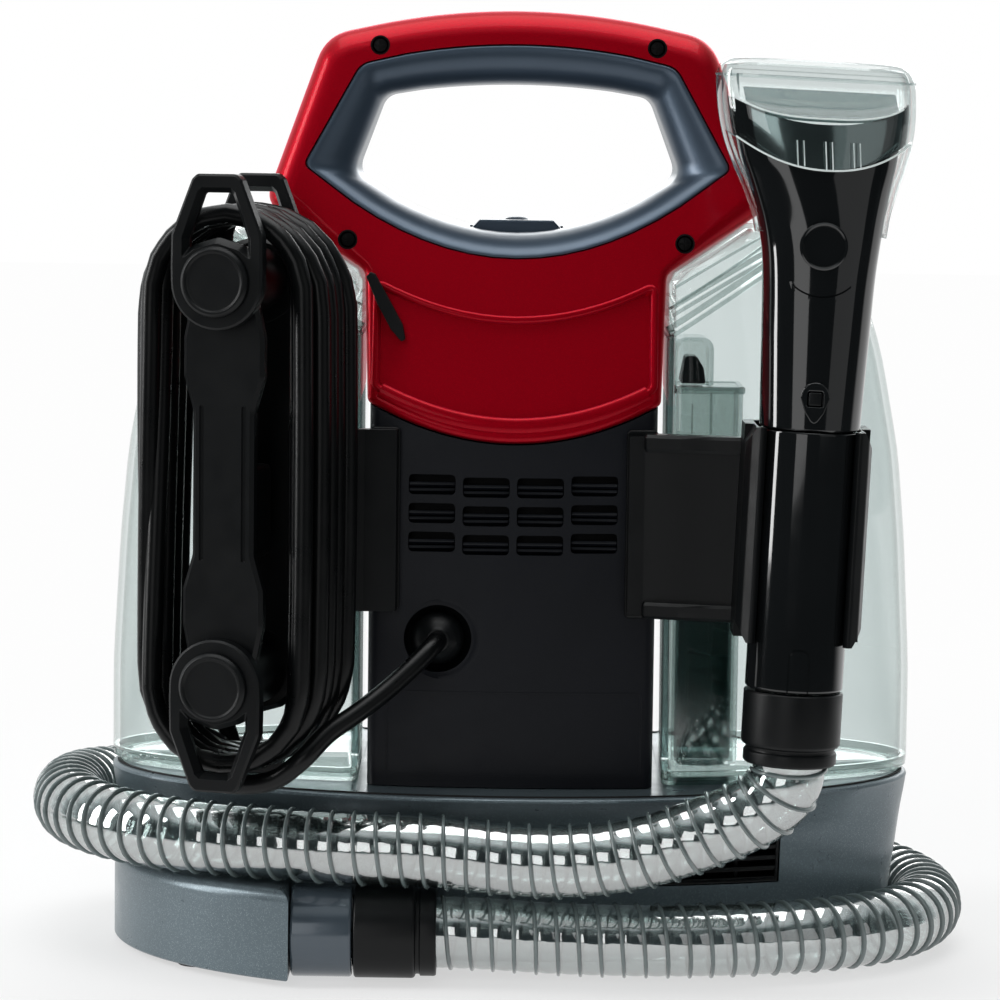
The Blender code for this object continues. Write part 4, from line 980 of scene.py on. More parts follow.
def column_ring(sign, height):
    centre_x = -COLUMN_X + COLUMN_CORNER
    centre_y = column_y(COLUMN_X - COLUMN_CORNER) + COLUMN_CORNER
    outer, inner = [(-COLUMN_X, -0.2)], [(-COLUMN_X + COLUMN_WALL, -0.2)]
    for k in range(9):
        angle = math.pi + (math.pi / 2) * k / 8
        x = centre_x + COLUMN_CORNER * math.cos(angle)
        y = centre_y + COLUMN_CORNER * math.sin(angle)
        spoke = Vector((x - centre_x, y - centre_y)).normalized() * (COLUMN_CORNER - COLUMN_WALL)
        outer.append((x, y))
        inner.append((centre_x + spoke.x, centre_y + spoke.y))
    middle = [(x, column_y(x)) for x in range(-42, 43, 4)]
    outside = outer + middle + mirrored(outer)
    inside = inner + [(x, y + COLUMN_WALL) for x, y in middle] + mirrored(inner)
    return [(x, -sign * y, height(x)) for x, y in outside + inside[::-1]]


def column_half(sign):
    heights = (lambda x: 66.4, lambda x: 66.9, column_top)
    return wall_loft([column_ring(sign, height) for height in heights])


def vent_places():
    """(x, z) of each slot; the rows sag towards the middle."""
    return [(x, z - 0.96 * (1 - (abs(x) / 28.6) ** 2)) for z in VENT_Z for x in VENT_X]


def rear_column():
    slots = [prism(rounded_box(x - 8.2, x + 8.2, z - 3.55, z + 3.55, 1.8), -75, -45, "XZ")
             for x, z in vent_places()]
    dish = lathe([(0, 58.2), (11.9, 58.2), (13.2, 58.5), (15.6, 59.9), (15.9, 61.0), (15.9, 75),
                  (0, 75)], 56)
    cover = cut(column_half(-1), join(*slots), moved(cylinder(11.9, 45, 75), CORD_EXIT),
                moved(dish, CORD_EXIT))
    place("rear_column_cover", cover, "column", replaces="rear_cover", smooth=30, bevel=0.45,
          steps=3)


def vent_details():
    """Two tilted blades in each slot, and a dark sheet behind them all as painted shade inside the
    slots.
    """
    blades = []
    for x, z in vent_places():
        for rise, depth in ((-1.7, 1.6), (0.5, 1.1)):
            blade = block(-8.1, 8.1, 0.0, 3.2, -0.55, 0.55, 0.25)
            blades.append(moved(blade, shift(x, column_y(x) + depth, z + rise) @ turn(-28, "X")))
    place("vent_louvres", join(*blades), "column", smooth=30)
    # Black sheet behind the slots: painted shade inside the vents.
    backing = [[(x, column_y(x) + 5.5, z) for x in range(-40, 41, 8)]
               + [(x, column_y(x) + 6.5, z) for x in range(40, -41, -8)] for z in (147, 180)]
    place("vent_painted_shade_sheet", wall_loft(backing), "dark")


def front_column():
    """Plain cover with a shallow groove that frames a panel."""
    groove = cut(prism(rounded_box(-38, 38, 82, 168, 6, 6), 50, 75, "XZ"),
                 prism(rounded_box(-36.6, 36.6, 83.4, 166.6, 5, 6), 45, 80, "XZ"))
    outside = loft([[(x, -(column_y(x) + 0.9), z) for x in range(-44, 45, 4)]
                    + [(x, 80, z) for x in range(44, -45, -4)] for z in (60, 200)])
    place("front_column_cover", cut(column_half(1), overlap(groove, outside)), "column",
          replaces="front_cover", smooth=30, bevel=0.4, steps=3)


def label_outline():
    """Raised outline of a blank plate."""
    loop = walk(rounded_box(-43.5, 46.0, 70.8, 100.2, 2.2, 6), 4)
    path = [Vector((point.x, column_y(point.x) - 0.02, point.y)) for point in loop]
    line = [(-0.35, -0.3), (0.35, -0.3), (0.25, 0.16), (-0.25, 0.16)]
    place("label_outline", sweep(path, line, up=(0, -1, 0), closed=True), "column", smooth=60)


def mount_pads():
    """Side pads that carry the holder (+X) and the winder (-X)."""
    for side, sign, z0, z1 in (("right", 1, 127.0, 193.5), ("left", -1, 129.0, 193.5)):
        rings = []
        for z, inset in ((z0, 1.2), (z0 + 1.2, 0.0), (z1 - 1.2, 0.0), (z1, 1.2)):
            xs = [39.6 + inset, 42, 44, 46, 48, 50.8 - inset]
            outer = [(sign * x, column_y(min(x, 46.4)) - 1.5 + inset * 0.5
                      + (0.8 if x > 49.5 else 0), z) for x in xs]
            inner = [(sign * x, column_y(min(x, 46.4)) + 1.2, z) for x in reversed(xs)]
            rings.append(outer + inner)
        place("mount_pad_" + side, loft(rings), "satin", bevel=0.4)


def cord_relief():
    """Stepped dome in the dish where the cord leaves the column."""
    profile = round_profile([
        (0, 49.5), (14.5, 49.5), (14.5, 51.6), (11.2, 52.2), (9.6, 53.2), (9.3, 55.6),
        (9.0, 57.6), (8.1, 60.0), (6.6, 62.0), (4.6, 63.6), (3.9, 64.3), (0, 64.4)], 0.8, 4)
    place("cord_relief", moved(lathe(profile, 56), CORD_EXIT), "satin", replaces="cord_grommet",
          slot="rubber_black", smooth=40)


# ------------------------------------------------------------------ tanks

TANK_X = 54.0  # inner flat of each tank
TANK_SLOPE = 0.65  # rise per unit x of the inner top and of the lid joint
TANK_BOTTOM, TANK_TOP = 66.5, 265.4
# (z, half length, half depth)
TANK_STATIONS = [
    (66.5, 144.6, 56.0), (70, 146, 57), (104, 146, 57), (151, 143.4, 57), (182.5, 140.5, 57),
    (217, 134, 56.5), (233, 129.5, 55), (248, 121.5, 52), (258, 108, 47), (262, 99, 44),
    (265.6, 90.5, 40)]


def smooth_tank_stations():
    heights = [66.5, 67.4, 69.0, 71.0, 75.0] + [80 + 8 * k for k in range(21)]
    heights += [244, 248, 251, 254, 256.5, 258.5, 260.3, 262, 263.4, 264.6, 265.4]
    out = []
    for z in heights:
        reach = 6.0 if 80 < z < 246 else (2.5 if z < 252 else 1.2)
        offsets = [reach * k / 3 for k in range(-3, 4)]
        half_x, half_y = averaged(TANK_STATIONS, z, offsets, 70.0, TANK_TOP)
        tuck = 1.6 * ((70.0 - z) / 3.5) ** 2 if z < 70 else 0.0
        out.append((z, half_x - tuck, half_y - tuck))
    return out


SMOOTH_TANK = smooth_tank_stations()


def half_ellipse(half_x, half_y, flat_x, radius):
    """Ellipse cut by a flat at flat_x, with its two corners rounded."""
    flat_x = min(flat_x, half_x - 1.2)
    end = math.acos(flat_x / half_x)
    angles = [-end + 2 * end * k / 200 for k in range(201)]
    arc = [Vector((half_x * math.cos(angle), half_y * math.sin(angle))) for angle in angles]
    radius = min(radius, (half_x - flat_x) * 0.45)
    trim = next(i for i, point in enumerate(arc) if (point - arc[0]).length >= radius)
    arc = arc[trim:len(arc) - trim]
    low_corner = Vector((flat_x, -half_y * math.sin(end)))
    high_corner = Vector((flat_x, half_y * math.sin(end)))
    rise = min(radius, abs(low_corner.y) * 0.8)
    low, high = Vector((flat_x, low_corner.y + rise)), Vector((flat_x, high_corner.y - rise))
    points = corner_curve(low, low_corner, arc[0], 6)[:-1]
    points += [point.xy for point in resample([point.to_3d() for point in arc], 56)]
    points += corner_curve(arc[-1], high_corner, high, 6)[1:-1]
    return points + [high.lerp(low, k / 7) for k in range(7)]


def tank_section(half_x, half_y, z, inset):
    flat_x = max(TANK_X + inset, TANK_X + (z + inset * 1.19 - 246.8) / TANK_SLOPE)
    return half_ellipse(half_x - inset, half_y - inset, flat_x, max(6.5 - inset, 3.0))


def tank_solid(sign, inset):
    rings = []
    for z, half_x, half_y in SMOOTH_TANK:
        height = z
        if z < 66.6:
            height = z + inset
        elif z > 265:
            height = z - inset * 0.9
        elif z < 72:
            height = max(z, TANK_BOTTOM + inset + (z - TANK_BOTTOM) * 0.3)
        elif z > 258:
            height = min(z, TANK_TOP - inset * 0.9 - (TANK_TOP - z) * 0.3)
        outline = tank_section(half_x, half_y, height, inset)
        rings.append([(sign * p.x, p.y, height) for p in outline])
    return loft(rings)


def joint_normal(sign):
    return Vector((-sign * TANK_SLOPE, 0, 1)).normalized()


def tank_split(mesh, sign, keep, gap):
    """Keep the part of the tank below or above the sloping lid joint."""
    normal = joint_normal(sign)
    result = bmesh.ops.bisect_plane(
        mesh, geom=list(mesh.verts) + list(mesh.edges) + list(mesh.faces),
        plane_co=Vector((sign * TANK_X, 0, 226.8)) + normal * gap, plane_no=normal,
        clear_outer=(keep == "below"), clear_inner=(keep == "above"), dist=1e-5)
    edges = [item for item in result["geom_cut"] if isinstance(item, bmesh.types.BMEdge)]
    bmesh.ops.triangle_fill(mesh, use_beauty=True, use_dissolve=True, edges=edges, normal=normal)
    return mesh


def joint_loop(sign, start_z, inset):
    """Where the inset tank skin meets the sloping plane through (TANK_X, start_z)."""
    count = 150
    out = []
    for k in range(count):
        z = start_z + 10
        for _ in range(14):
            outline = tank_section(*between(SMOOTH_TANK, z), z, inset)
            outline = [point.to_3d() for point in outline + outline[:1]]
            point = resample(outline, count)[k]
            z = 0.5 * z + 0.5 * (start_z + TANK_SLOPE * (point.x - TANK_X))
        out.append(Vector((sign * point.x, point.y, z)))
    return out


def tank(sign, name, port_x, port_radius, port_count):
    body = name + "_body"
    hollow = cut(tank_solid(sign, 0.0), tank_solid(sign, 2.4))
    vessel = tank_split(hollow.copy(), sign, "below", -0.2)
    port = moved(cylinder(port_radius, 60, 75, port_count), shift(port_x, 0, 0))
    place(name + "_vessel", cut(vessel, port), "tank", body, replaces=name + "_shell", smooth=32)
    place(name + "_cover", tank_split(hollow, sign, "above", 0.2), "tank", body,
          replaces=name + "_lid", smooth=32)
    # Rims along the joint: start height, inset, half width, half height.
    rims = ((225.2, 0.5, 1.0, 0.7), (228.6, 0.4, 1.1, 1.0), (235.4, 0.7, 0.8, 0.5))
    for i, (z, inset, half, rise) in enumerate(rims, 1):
        rim = sweep(joint_loop(sign, z, inset), section(half, -rise, rise),
                    up=tuple(joint_normal(sign)), closed=True)
        place("%s_rim_%d" % (name, i), rim, "rim", body, smooth=50)
    inner_edge = block(*sorted((sign * 54.5, sign * 57.0)), -25.0, -20.0, 72.0, 226.0, 0.6, 2)
    place(name + "_inner_edge", inner_edge, "smoke", body)
    half_x, half_y = between(TANK_STATIONS, 70.0)
    path = [Vector((sign * p.x, p.y, 70.2))
            for p in half_ellipse(half_x - 1.2, half_y - 1.2, TANK_X + 1.4, 6.0)]
    floor_edge = sweep(path, section(0.9, -2.2, 1.2), up=(0, 0, 1), closed=True)
    place(name + "_floor_edge", floor_edge, "rim", body, smooth=50)


def tanks():
    tank(-1, "clean_tank", CLEAN_PORT_X, port_radius=14.4, port_count=48)
    tank(1, "dirty_tank", DIRTY_PORT_X, port_radius=8.6, port_count=40)


def fill_cap():
    profile = round_profile([(0, 66.7), (13.2, 66.7), (14.0, 67.4), (14.0, 71.5), (11.5, 71.5),
                             (11.5, 69.4), (0, 69.4)], 0.4, 3)
    cap = fuse(lathe(profile, 56), block(-9, 9, -1.6, 1.6, 69.0, 74.0))
    place("fill_cap", moved(cap, shift(CLEAN_PORT_X, 0, 0)), "satin", "clean_cap_body",
          replaces="clean_tank_cap", bevel=0.3)


def inlet_stack():
    """Clear chamber in the dirty tank with a lip, ribs, a riser and an arched hood."""
    body = "dirty_tank_body"
    chamber = cut(prism(rounded_box(57.4, 82.8, -15.8, 15.8, 3), 69.8, 206.0),
                  prism(rounded_box(59.0, 81.2, -14.2, 14.2, 2), 60.0, 204.6))
    place("inlet_chamber", chamber, "rim", body, replaces="dirty_tank_stack")
    lip = cut(block(56.9, 83.3, -16.3, 16.3, 203.6, 206.3, 0.5),
              block(59.0, 81.2, -14.2, 14.2, 200, 210))
    place("inlet_chamber_lip", lip, "rim", body)
    ribs = join(block(70.6, 71.6, -16.6, -15.6, 100.0, 204.0, 0.2),
                block(64.0, 64.6, -16.4, -15.7, 80.0, 200.0, 0.1))
    place("inlet_rib", ribs, "rim", body)
    riser = cut(prism(rounded_box(60.0, 80.4, -13.4, 13.4, 3), 70.2, 130.0),
                prism(rounded_box(61.2, 79.2, -12.2, 12.2, 2), 60.0, 140.0))
    place("inlet_riser", riser, "smoke", body)
    hood = cut(prism(arch(57.4, 72.0, 206.5, 223.8), -11.8, 11.8, "XZ"),
               prism(arch(59.0, 70.4, 200.0, 222.2, 4.0), -10.2, 14.0, "XZ"))
    place("inlet_hood", hood, "rim", body)


def float_block():
    outline = round_outline([(60.0, 206.8), (69.4, 206.8), (68.6, 212.5), (66.0, 216.8),
                             (62.0, 216.8)], [1.0, 1.0, 2.0, 2.0, 1.5], 5)
    place("float_block", prism(outline, -8.4, 8.4, "XZ"), "satin", "float_body",
          replaces="dirty_tank_float", bevel=0.5, steps=3)


def release_lever():
    """Tank release on the -Y face of the handle shell."""
    outline = rounded([
        (-51.2, 247.2), (-52.6, 245.6), (-48.4, 236.0), (-43.6, 227.4), (-39.8, 223.2),
        (-38.4, 224.0), (-39.4, 229.0), (-44.0, 237.2), (-49.4, 246.6)], 0.6, 3)
    lever = loft([under_face(outline, -1, -height) for height in (0.45, 3.5)])
    place("tank_release_lever", lever, "satin", "latch_body", replaces="tank_latch", bevel=0.7,
          steps=3)


# ------------------------------------------------------------------ cord winder

WINDER = shift(-100.5, -105.0, 0) @ turn(-16.0, "Z")
WINDER_ENDS = (("top", 1, 245.3), ("bottom", -1, 107.6))  # name, direction, hub height
CORD_RADIUS = 3.45


def from_hub(outline, sign, hub_z):
    return [(x, hub_z + sign * z) for x, z in (outline if sign > 0 else reversed(outline))]


def loop_outline(sign, hub_z, inset):
    angles = [math.pi + math.pi * k / 20 for k in range(21)]
    points = [(16.3 * math.cos(angle), 16.3 * math.sin(angle)) for angle in angles]
    corners = [(16.4, 5.0), (16.2, 15.8), (8.9, 34.4), (7.0, 36.2)]
    points += corners + mirrored(corners)
    outline = round_outline(points, [None] * 21 + [3, 5, 2.5, 2.5, 2.5, 2.5, 5, 3], 6)
    return from_hub(offset_outline(outline, inset), sign, hub_z)


def eye_outline(sign, hub_z, inset):
    corners = [(-12.4, 7.2), (-8.0, 10.6), (0, 13.0), (8.0, 10.6), (12.4, 7.2), (12.4, 14.8),
               (6.8, 30.4), (5.2, 31.8), (-5.2, 31.8), (-6.8, 30.4), (-12.4, 14.8)]
    radii = [0.8, 3, 5, 3, 0.8, 3, 0.6, 0.6, 0.6, 0.6, 3]
    return from_hub(round_outline(offset_outline(corners, inset), radii, 5), sign, hub_z)


def winder_loop(sign, hub_z, y0, y1, bored):
    """Loop with an outer chamfer and a broad bevel round its eye, both on the -Y side."""
    loop = loft([upright(loop_outline(sign, hub_z, inset), y)
                 for y, inset in ((y1, 0.0), (y0 + 0.7, 0.0), (y0, 0.8))])
    tools = [loft([upright(eye_outline(sign, hub_z, inset), y)
                   for y, inset in ((y1 + 3, 1.9), (y0 + 2.9, 1.9), (y0 - 0.1, 0.0))])]
    if bored:
        axes = shift(0, 0, hub_z) @ Z_TO_MINUS_Y
        tools += [moved(cylinder(6.5, -y1 - 5, -y0 + 5, 48), axes),
                  moved(cylinder(12.3, -y1 - 5, -1.9, 64), axes)]
    return cut(loop, *tools)


def winder_hooks():
    disc = round_profile([
        (0, -3.7), (5.9, -3.7), (5.9, 1.7), (11.4, 1.7), (12.0, 2.2), (12.0, 3.4), (10.9, 4.6),
        (10.2, 4.6), (9.7, 4.0), (9.3, 3.9), (0, 4.0)], 0.35, 3)
    for end, sign, hub_z in WINDER_ENDS:
        loop = winder_loop(sign, hub_z, -1.5, 3.4, bored=True)
        place("winder_loop_" + end, moved(loop, WINDER), "satin", "hook_%s_body" % end,
              replaces="hook_%s_loop" % end, smooth=32, bevel=0.45, steps=3)
        axes = WINDER @ shift(0, 0, hub_z) @ Z_TO_MINUS_Y
        place("winder_disc_" + end, moved(lathe(disc, 72), axes), "satin",
              replaces="hook_%s_cap" % end, smooth=28)


def winder_frame():
    """Two hubs joined by a waisted spine and a plate at the far ends."""
    profile = round_profile([(0, 4.3), (10.6, 4.3), (11.0, 4.8), (11.0, 44.0), (0, 44.0)], 0.4, 3)
    top_hub, bottom_hub = [moved(lathe(profile, 40), shift(0, 0, hub_z) @ Z_TO_PLUS_Y)
                           for _, _, hub_z in WINDER_ENDS]
    half = [(10.5, 108), (14.5, 128), (14.5, 140), (11.0, 152), (11.0, 201), (14.5, 213),
            (14.5, 226), (10.5, 245)]
    outline = round_outline(half + mirrored(half), [None, 4, 4, 5, 5, 4, 4, None] * 2, 5)
    spine = loft([upright(outline, 10.0), upright(outline, 7.2),
                  upright(offset_outline(outline, 1.3), 6.0)])
    plate = prism(rounded_box(-12, 12, 110, 243, 3, 4), 40.0, 44.0, "XZ")
    grooves = [moved(block(-0.8, 0.8, 5.0, 6.8, 150, 203, 0.3), shift(x, 0, 0))
               for x in (-7.6, 7.6)]
    body = cut(fuse(top_hub, spine, bottom_hub, plate), *grooves)
    place("winder_frame", moved(body, WINDER), "satin", replaces="cord_winder", smooth=32,
          bevel=0.5, steps=3)
    for end, sign, hub_z in WINDER_ENDS:
        loop = winder_loop(sign, hub_z, 39.9, 43.9, bored=False)
        place("winder_rear_loop_" + end, moved(loop, WINDER), "satin", smooth=32, bevel=0.45,
              steps=3)
    arm = rounded([(-40.5, -58.6), (-40.5, -62.6), (-52, -63.8), (-78, -70.4), (-81.0, -66.0),
                   (-60, -61.0), (-50.5, -58.2)], 1.0, 3)
    place("winder_arm", prism(arm, 129.0, 193.0), "satin", smooth=32, bevel=0.8, steps=3)


def turn_point(part, half, y, top, bottom):
    """Point on one racetrack turn; part runs from 0 to 1, starting at the bottom."""
    straight, arc = top - bottom, math.pi * half

    def round_end(angle, z):
        return Vector((half * math.cos(angle), y, z + half * math.sin(angle)))

    def bowed_side(run):
        return half + 0.5 * math.sin(math.pi * run / straight)
    run = part * (2 * straight + 2 * arc)
    if run < arc / 2:
        return round_end(-math.pi / 2 + run / half, bottom)
    run -= arc / 2
    if run < straight:
        return Vector((bowed_side(run), y, bottom + run))
    run -= straight
    if run < arc:
        return round_end(run / half, top)
    run -= arc
    if run < straight:
        return Vector((-bowed_side(run), y, top - run))
    run -= straight
    return round_end(math.pi + run / half, bottom)


def cord_coil():
    """One continuous run of cord, each turn easing into the next."""
    jitter = random.Random(11)
    # (half width, y) of each turn
    turns = [(24.7, 35.7), (24.7, 28.5), (24.7, 21.3), (24.7, 14.1), (27.4, 9.6), (31.4, 16.4),
             (31.6, 23.6), (31.6, 30.8), (34.4, 35.8)]
    per_turn = 44
    path = []
    for (half, y), (next_half, next_y) in zip(turns, turns[1:] + turns[-1:]):
        top_jitter, bottom_jitter = jitter.uniform(-1.0, 1.0), jitter.uniform(-1.0, 1.0)
        for i in range(per_turn):
            part = i / per_turn
            ease = eased((part - 0.62) / 0.36)
            width, depth = half + (next_half - half) * ease, y + (next_y - y) * ease
            top = 272.0 - 4.0 - width + 0.6 * top_jitter
            bottom = 75.0 + 4.2 + width + 0.6 * bottom_jitter
            path.append(WINDER @ turn_point(part, width, depth, top, bottom))
    place("power_cord_coil", tube(resample(path, 900), CORD_RADIUS, 14), "cord",
          replaces="power_cord", smooth=60)


def cord_tail():
    """From the coil's bottom, in winder axes, to the column, in machine axes."""
    near_coil = [(-12, 14, 72.9), (4, 14, 72.0), (17, 13.2, 74.6), (27, 12.6, 82.0)]
    to_column = [(-62.5, -95.5, 90.5), (-52.5, -89.0, 97.0), (-42, -81.0, 104.5),
                 (-33.5, -74.5, 111.8), (-28.0, -69.0, 117.0), (-26.0, -64.5, 119.0),
                 (-25.9, -60.0, 119.0)]
    path = spline([WINDER @ Vector(point) for point in near_coil] + to_column, 8)
    place("power_cord_tail", tube(resample(path, 60), CORD_RADIUS, 16), "cord", smooth=60)


def power_plug():
    plug = fuse(block(-9, 9, 14.5, 31.5, 150, 182, 3.0, 4),
                block(-5.6, -4.0, 20, 26, 181, 199.5), block(4.0, 5.6, 20, 26, 181, 199.5))
    place("power_plug_body", moved(plug, WINDER), "satin", replaces="power_plug")


# ------------------------------------------------------------------ hose

HOSE_SPLIT = (-26, -82, 47.6)  # the fixed run ends and the rise to the wand begins
HOSE_PATH = [
    (-31.5, -73, 17.5), (-10, -73, 17.0), (20, -71.5, 15.2), (60, -69, 14.4), (95, -62, 14.4),
    (123, -49, 14.4), (141, -33, 14.6), (152, -12, 14.8), (154.5, 12, 15), (147, 41, 15.8),
    (122, 68, 19), (85, 88, 23), (40, 99, 27), (0, 101, 30), (-45, 99, 34), (-90, 89, 39),
    (-126, 74, 43.5), (-149, 52, 48), (-160.5, 26, 50.5), (-162, 0, 51.3), (-156, -26, 50.6),
    (-139, -47, 49.4), (-118, -60, 48.5), (-98, -67, 48.1), (-79, -73, 48.0), (-56, -79, 48.0),
    HOSE_SPLIT, (5, -84, 45.2), (28, -86, 46), (50, -88, 50.3), (68, -90, 57.0),
    (82, -92.2, 63.5), (90.2, -93.8, 69.2), (94.6, -94.9, 75.3), (95.75, -95, 79.6),
    (95.93, -95, 83.6), (96.1, -95, 88.0)]
RIB_PITCH = 7.6
hose_curve = spline(HOSE_PATH, 10)
HOSE_LENGTH = sum((end - start).length for start, end in zip(hose_curve[:-1], hose_curve[1:]))
HOSE_STEPS = int(HOSE_LENGTH / (RIB_PITCH / 8))
HOSE_STEP = HOSE_LENGTH / HOSE_STEPS
HOSE_LINE = resample(hose_curve, HOSE_STEPS)
HOSE_FRAMES = path_frames(HOSE_LINE)


def hose_fittings():
    socket = round_profile([(12.5, -75.5), (15.6, -75.5), (16.2, -74.8), (16.2, -55.0),
                            (15.6, -54.2), (12.5, -54.2)], 0.5, 4, closed=True)
    place("hose_socket", moved(lathe(socket, 72, closed=True), HOSE_PORT), "socket",
          replaces="hose_port", smooth=30)
    cuff = round_profile([
        (11.0, -53.6), (15.8, -53.6), (16.4, -53.0), (16.4, -33.0), (15.8, -32.2), (14.9, -32.0),
        (14.9, -30.6), (15.6, -30.4), (15.6, -25.4), (15.2, -24.8), (13.2, -24.8),
        (13.2, -31.0), (11.0, -31.4)], 0.35, 3, closed=True)
    place("base_cuff", moved(lathe(cuff, 72, closed=True), HOSE_PORT), "satin",
          replaces="hose_base_cuff", smooth=30)


def hose_film(first, last):
    """Thin wall that bulges between the turns of the rib."""
    count = 40

    def ring(i, thickness):
        _, normal, binormal = HOSE_FRAMES[i]
        out = []
        for k in range(count):
            angle = 2 * math.pi * k / count
            phase = (i * HOSE_STEP / RIB_PITCH - k / count) % 1.0
            radius = 12.15 + 0.42 * math.sin(math.pi * phase) ** 0.8 - thickness
            spoke = normal * math.cos(angle) + binormal * math.sin(angle)
            out.append(HOSE_LINE[i] + spoke * radius)
        return out
    indices = range(first, last + 1)
    return loft([ring(i, 0.0) for i in indices] + [ring(i, 0.55) for i in reversed(indices)],
                loop=True)


def hose_rib(first, last):
    """Helical bead of oval section."""
    per_step, coil_radius, half_width, half_height = 4, 12.45, 0.72, 0.95
    helix = []
    for k in range((last - first) * per_step + 1):
        place_on_line = first + k / per_step
        i = min(int(place_on_line), len(HOSE_LINE) - 2)
        part = place_on_line - i
        normal, binormal = [HOSE_FRAMES[i][axis].lerp(HOSE_FRAMES[i + 1][axis], part).normalized()
                            for axis in (1, 2)]
        angle = 2 * math.pi * (place_on_line * (HOSE_STEP / RIB_PITCH))
        spoke = normal * math.cos(angle) + binormal * math.sin(angle)
        centre = HOSE_LINE[i].lerp(HOSE_LINE[i + 1], part)
        helix.append((centre + spoke * coil_radius, spoke))
    rings = []
    for i, (point, spoke) in enumerate(helix):
        ahead, behind = helix[min(i + 1, len(helix) - 1)][0], helix[max(i - 1, 0)][0]
        side = (ahead - behind).normalized().cross(spoke).normalized()
        rings.append([point + spoke * a + side * b
                      for a, b in ellipse(half_height, half_width, 10)])
    return loft(rings)


def hose():
    split = min(range(HOSE_STEPS), key=lambda i: (HOSE_LINE[i] - Vector(HOSE_SPLIT)).length)
    last = HOSE_STEPS - 3
    place("hose_film_run", hose_film(2, split), "film", replaces="suction_hose", smooth=60)
    place("hose_rib_run", hose_rib(3, split), "rib", smooth=60)
    for part, shape in (("film", hose_film), ("rib", hose_rib)):
        piece = place("hose_%s_rise" % part, shape(split, last), part, None, smooth=60)
        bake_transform(piece)


# ------------------------------------------------------------------ hand tool

# The tool stands along its own Z, leaning slightly; its front faces -Y.
TOOL = shift(95.9, -95.0, 82.6) @ turn(2.3, "Y")
BADGE_Z = 177.5
# (z, half width, half depth) up the neck, the nozzle wall and, with the section's power, its top
NECK_STATIONS = [(115.5, 17.1, 16.75), (143.5, 18.2, 15.9), (171.6, 19.5, 14.9),
                 (184.6, 21.3, 14.4), (196.0, 24.0, 13.9), (206.0, 26.8, 13.4),
                 (214.0, 28.2, 13.0)]
NOZZLE_WALL = spline([
    (181.0, 22.3, 16.0), (188.0, 23.6, 15.9), (196.0, 26.2, 15.9), (203.0, 28.9, 16.1),
    (211.0, 31.6, 16.3), (219.0, 33.1, 16.3), (226.0, 33.6, 15.8), (232.2, 33.6, 15.2)], 5)
NOZZLE_TOP = [(234.6, 33.2, 14.9, 3.2), (236.7, 32.2, 14.2, 3.1), (238.3, 30.6, 13.1, 3.0),
              (239.1, 28.6, 11.8, 2.9)]
POCKET_FOOT = (-16.6, 219.8)  # (y, z) where the slanted pocket meets the front wall


def nozzle_power(z):
    return 2.3 + min(max((z - 181.0) / 53.0, 0.0), 1.0)


def low_arc(x):
    """Lower edge of the clear front wall."""
    return 202.7 + 10.6 * (abs(x) / 30.5) ** 2.2


def high_arc(x):
    """Lower edge of the pocket."""
    return 219.2 + 7.2 * (abs(x) / 28.0) ** 2.2


def warp(mesh):
    """Lean the upper tool to -X and twist it a few degrees about its own axis."""
    lean = 0.095
    for vertex in mesh.verts:
        rise = vertex.co.z - 172.0
        if rise > 0:
            angle = math.radians(7.0) * eased(rise / 33.0)
            x = vertex.co.x * math.cos(angle) - vertex.co.y * math.sin(angle)
            y = vertex.co.x * math.sin(angle) + vertex.co.y * math.cos(angle)
            vertex.co.x = x - (lean * rise * rise / 32.0 if rise < 16 else lean * (rise - 8.0))
            vertex.co.y = y
    return mesh


def place_warped(name, mesh, material, **options):
    place(name, moved(warp(mesh), TOOL), material, "tool_body", **options)


def wand():
    cuff = round_profile([
        (13.0, 0.3), (15.2, 0.0), (16.0, 0.7), (16.0, 4.3), (15.3, 4.8), (15.3, 6.1),
        (16.6, 6.6), (17.0, 7.4), (17.0, 24.8), (16.4, 25.4), (12.0, 25.4), (12.0, 20.0),
        (13.0, 19.0)], 0.35, 3, closed=True)
    place("wand_cuff", moved(lathe(cuff, 80, closed=True), TOOL), "satin", "cuff_body",
          replaces="hose_wand_cuff", smooth=30)
    profile = round_profile([(12.8, 26.0), (16.2, 26.0), (16.75, 26.8), (16.75, 114.3),
                             (16.35, 114.9), (12.8, 114.9)], 0.3, 3, closed=True)
    grip = cut(lathe(profile, 96, closed=True), block(-5.6, 5.6, 4.0, 30.0, 60.0, 105.0))
    arched_line = cut(prism(arch(-3.7, 3.7, 26.0, 41.4, 3.7 * 0.98, 12), -20, -16.1, "XZ"),
                      prism(arch(-3.2, 3.2, 25.5, 40.8, 3.2 * 0.98, 12), -21, -15, "XZ"))
    place("wand_grip", moved(cut(grip, arched_line), TOOL), "gloss", "wand_body",
          replaces="wand_handle", smooth=30, bevel=0.12, steps=1)
    trigger = rounded([
        (11.0, 104.0), (17.5, 103.5), (20.5, 99.0), (22.2, 88.0), (21.0, 72.0), (18.6, 62.5),
        (16.8, 61.5), (15.0, 63.0), (16.5, 78.0), (15.6, 92.0), (11.0, 96.0), (9.5, 100.0)],
        1.5, 4)
    place("trigger_lever", moved(prism(trigger, -5.0, 5.0, "YZ"), TOOL), "satin", "trigger_body",
          replaces="spray_trigger", smooth=32, bevel=0.9, steps=3)


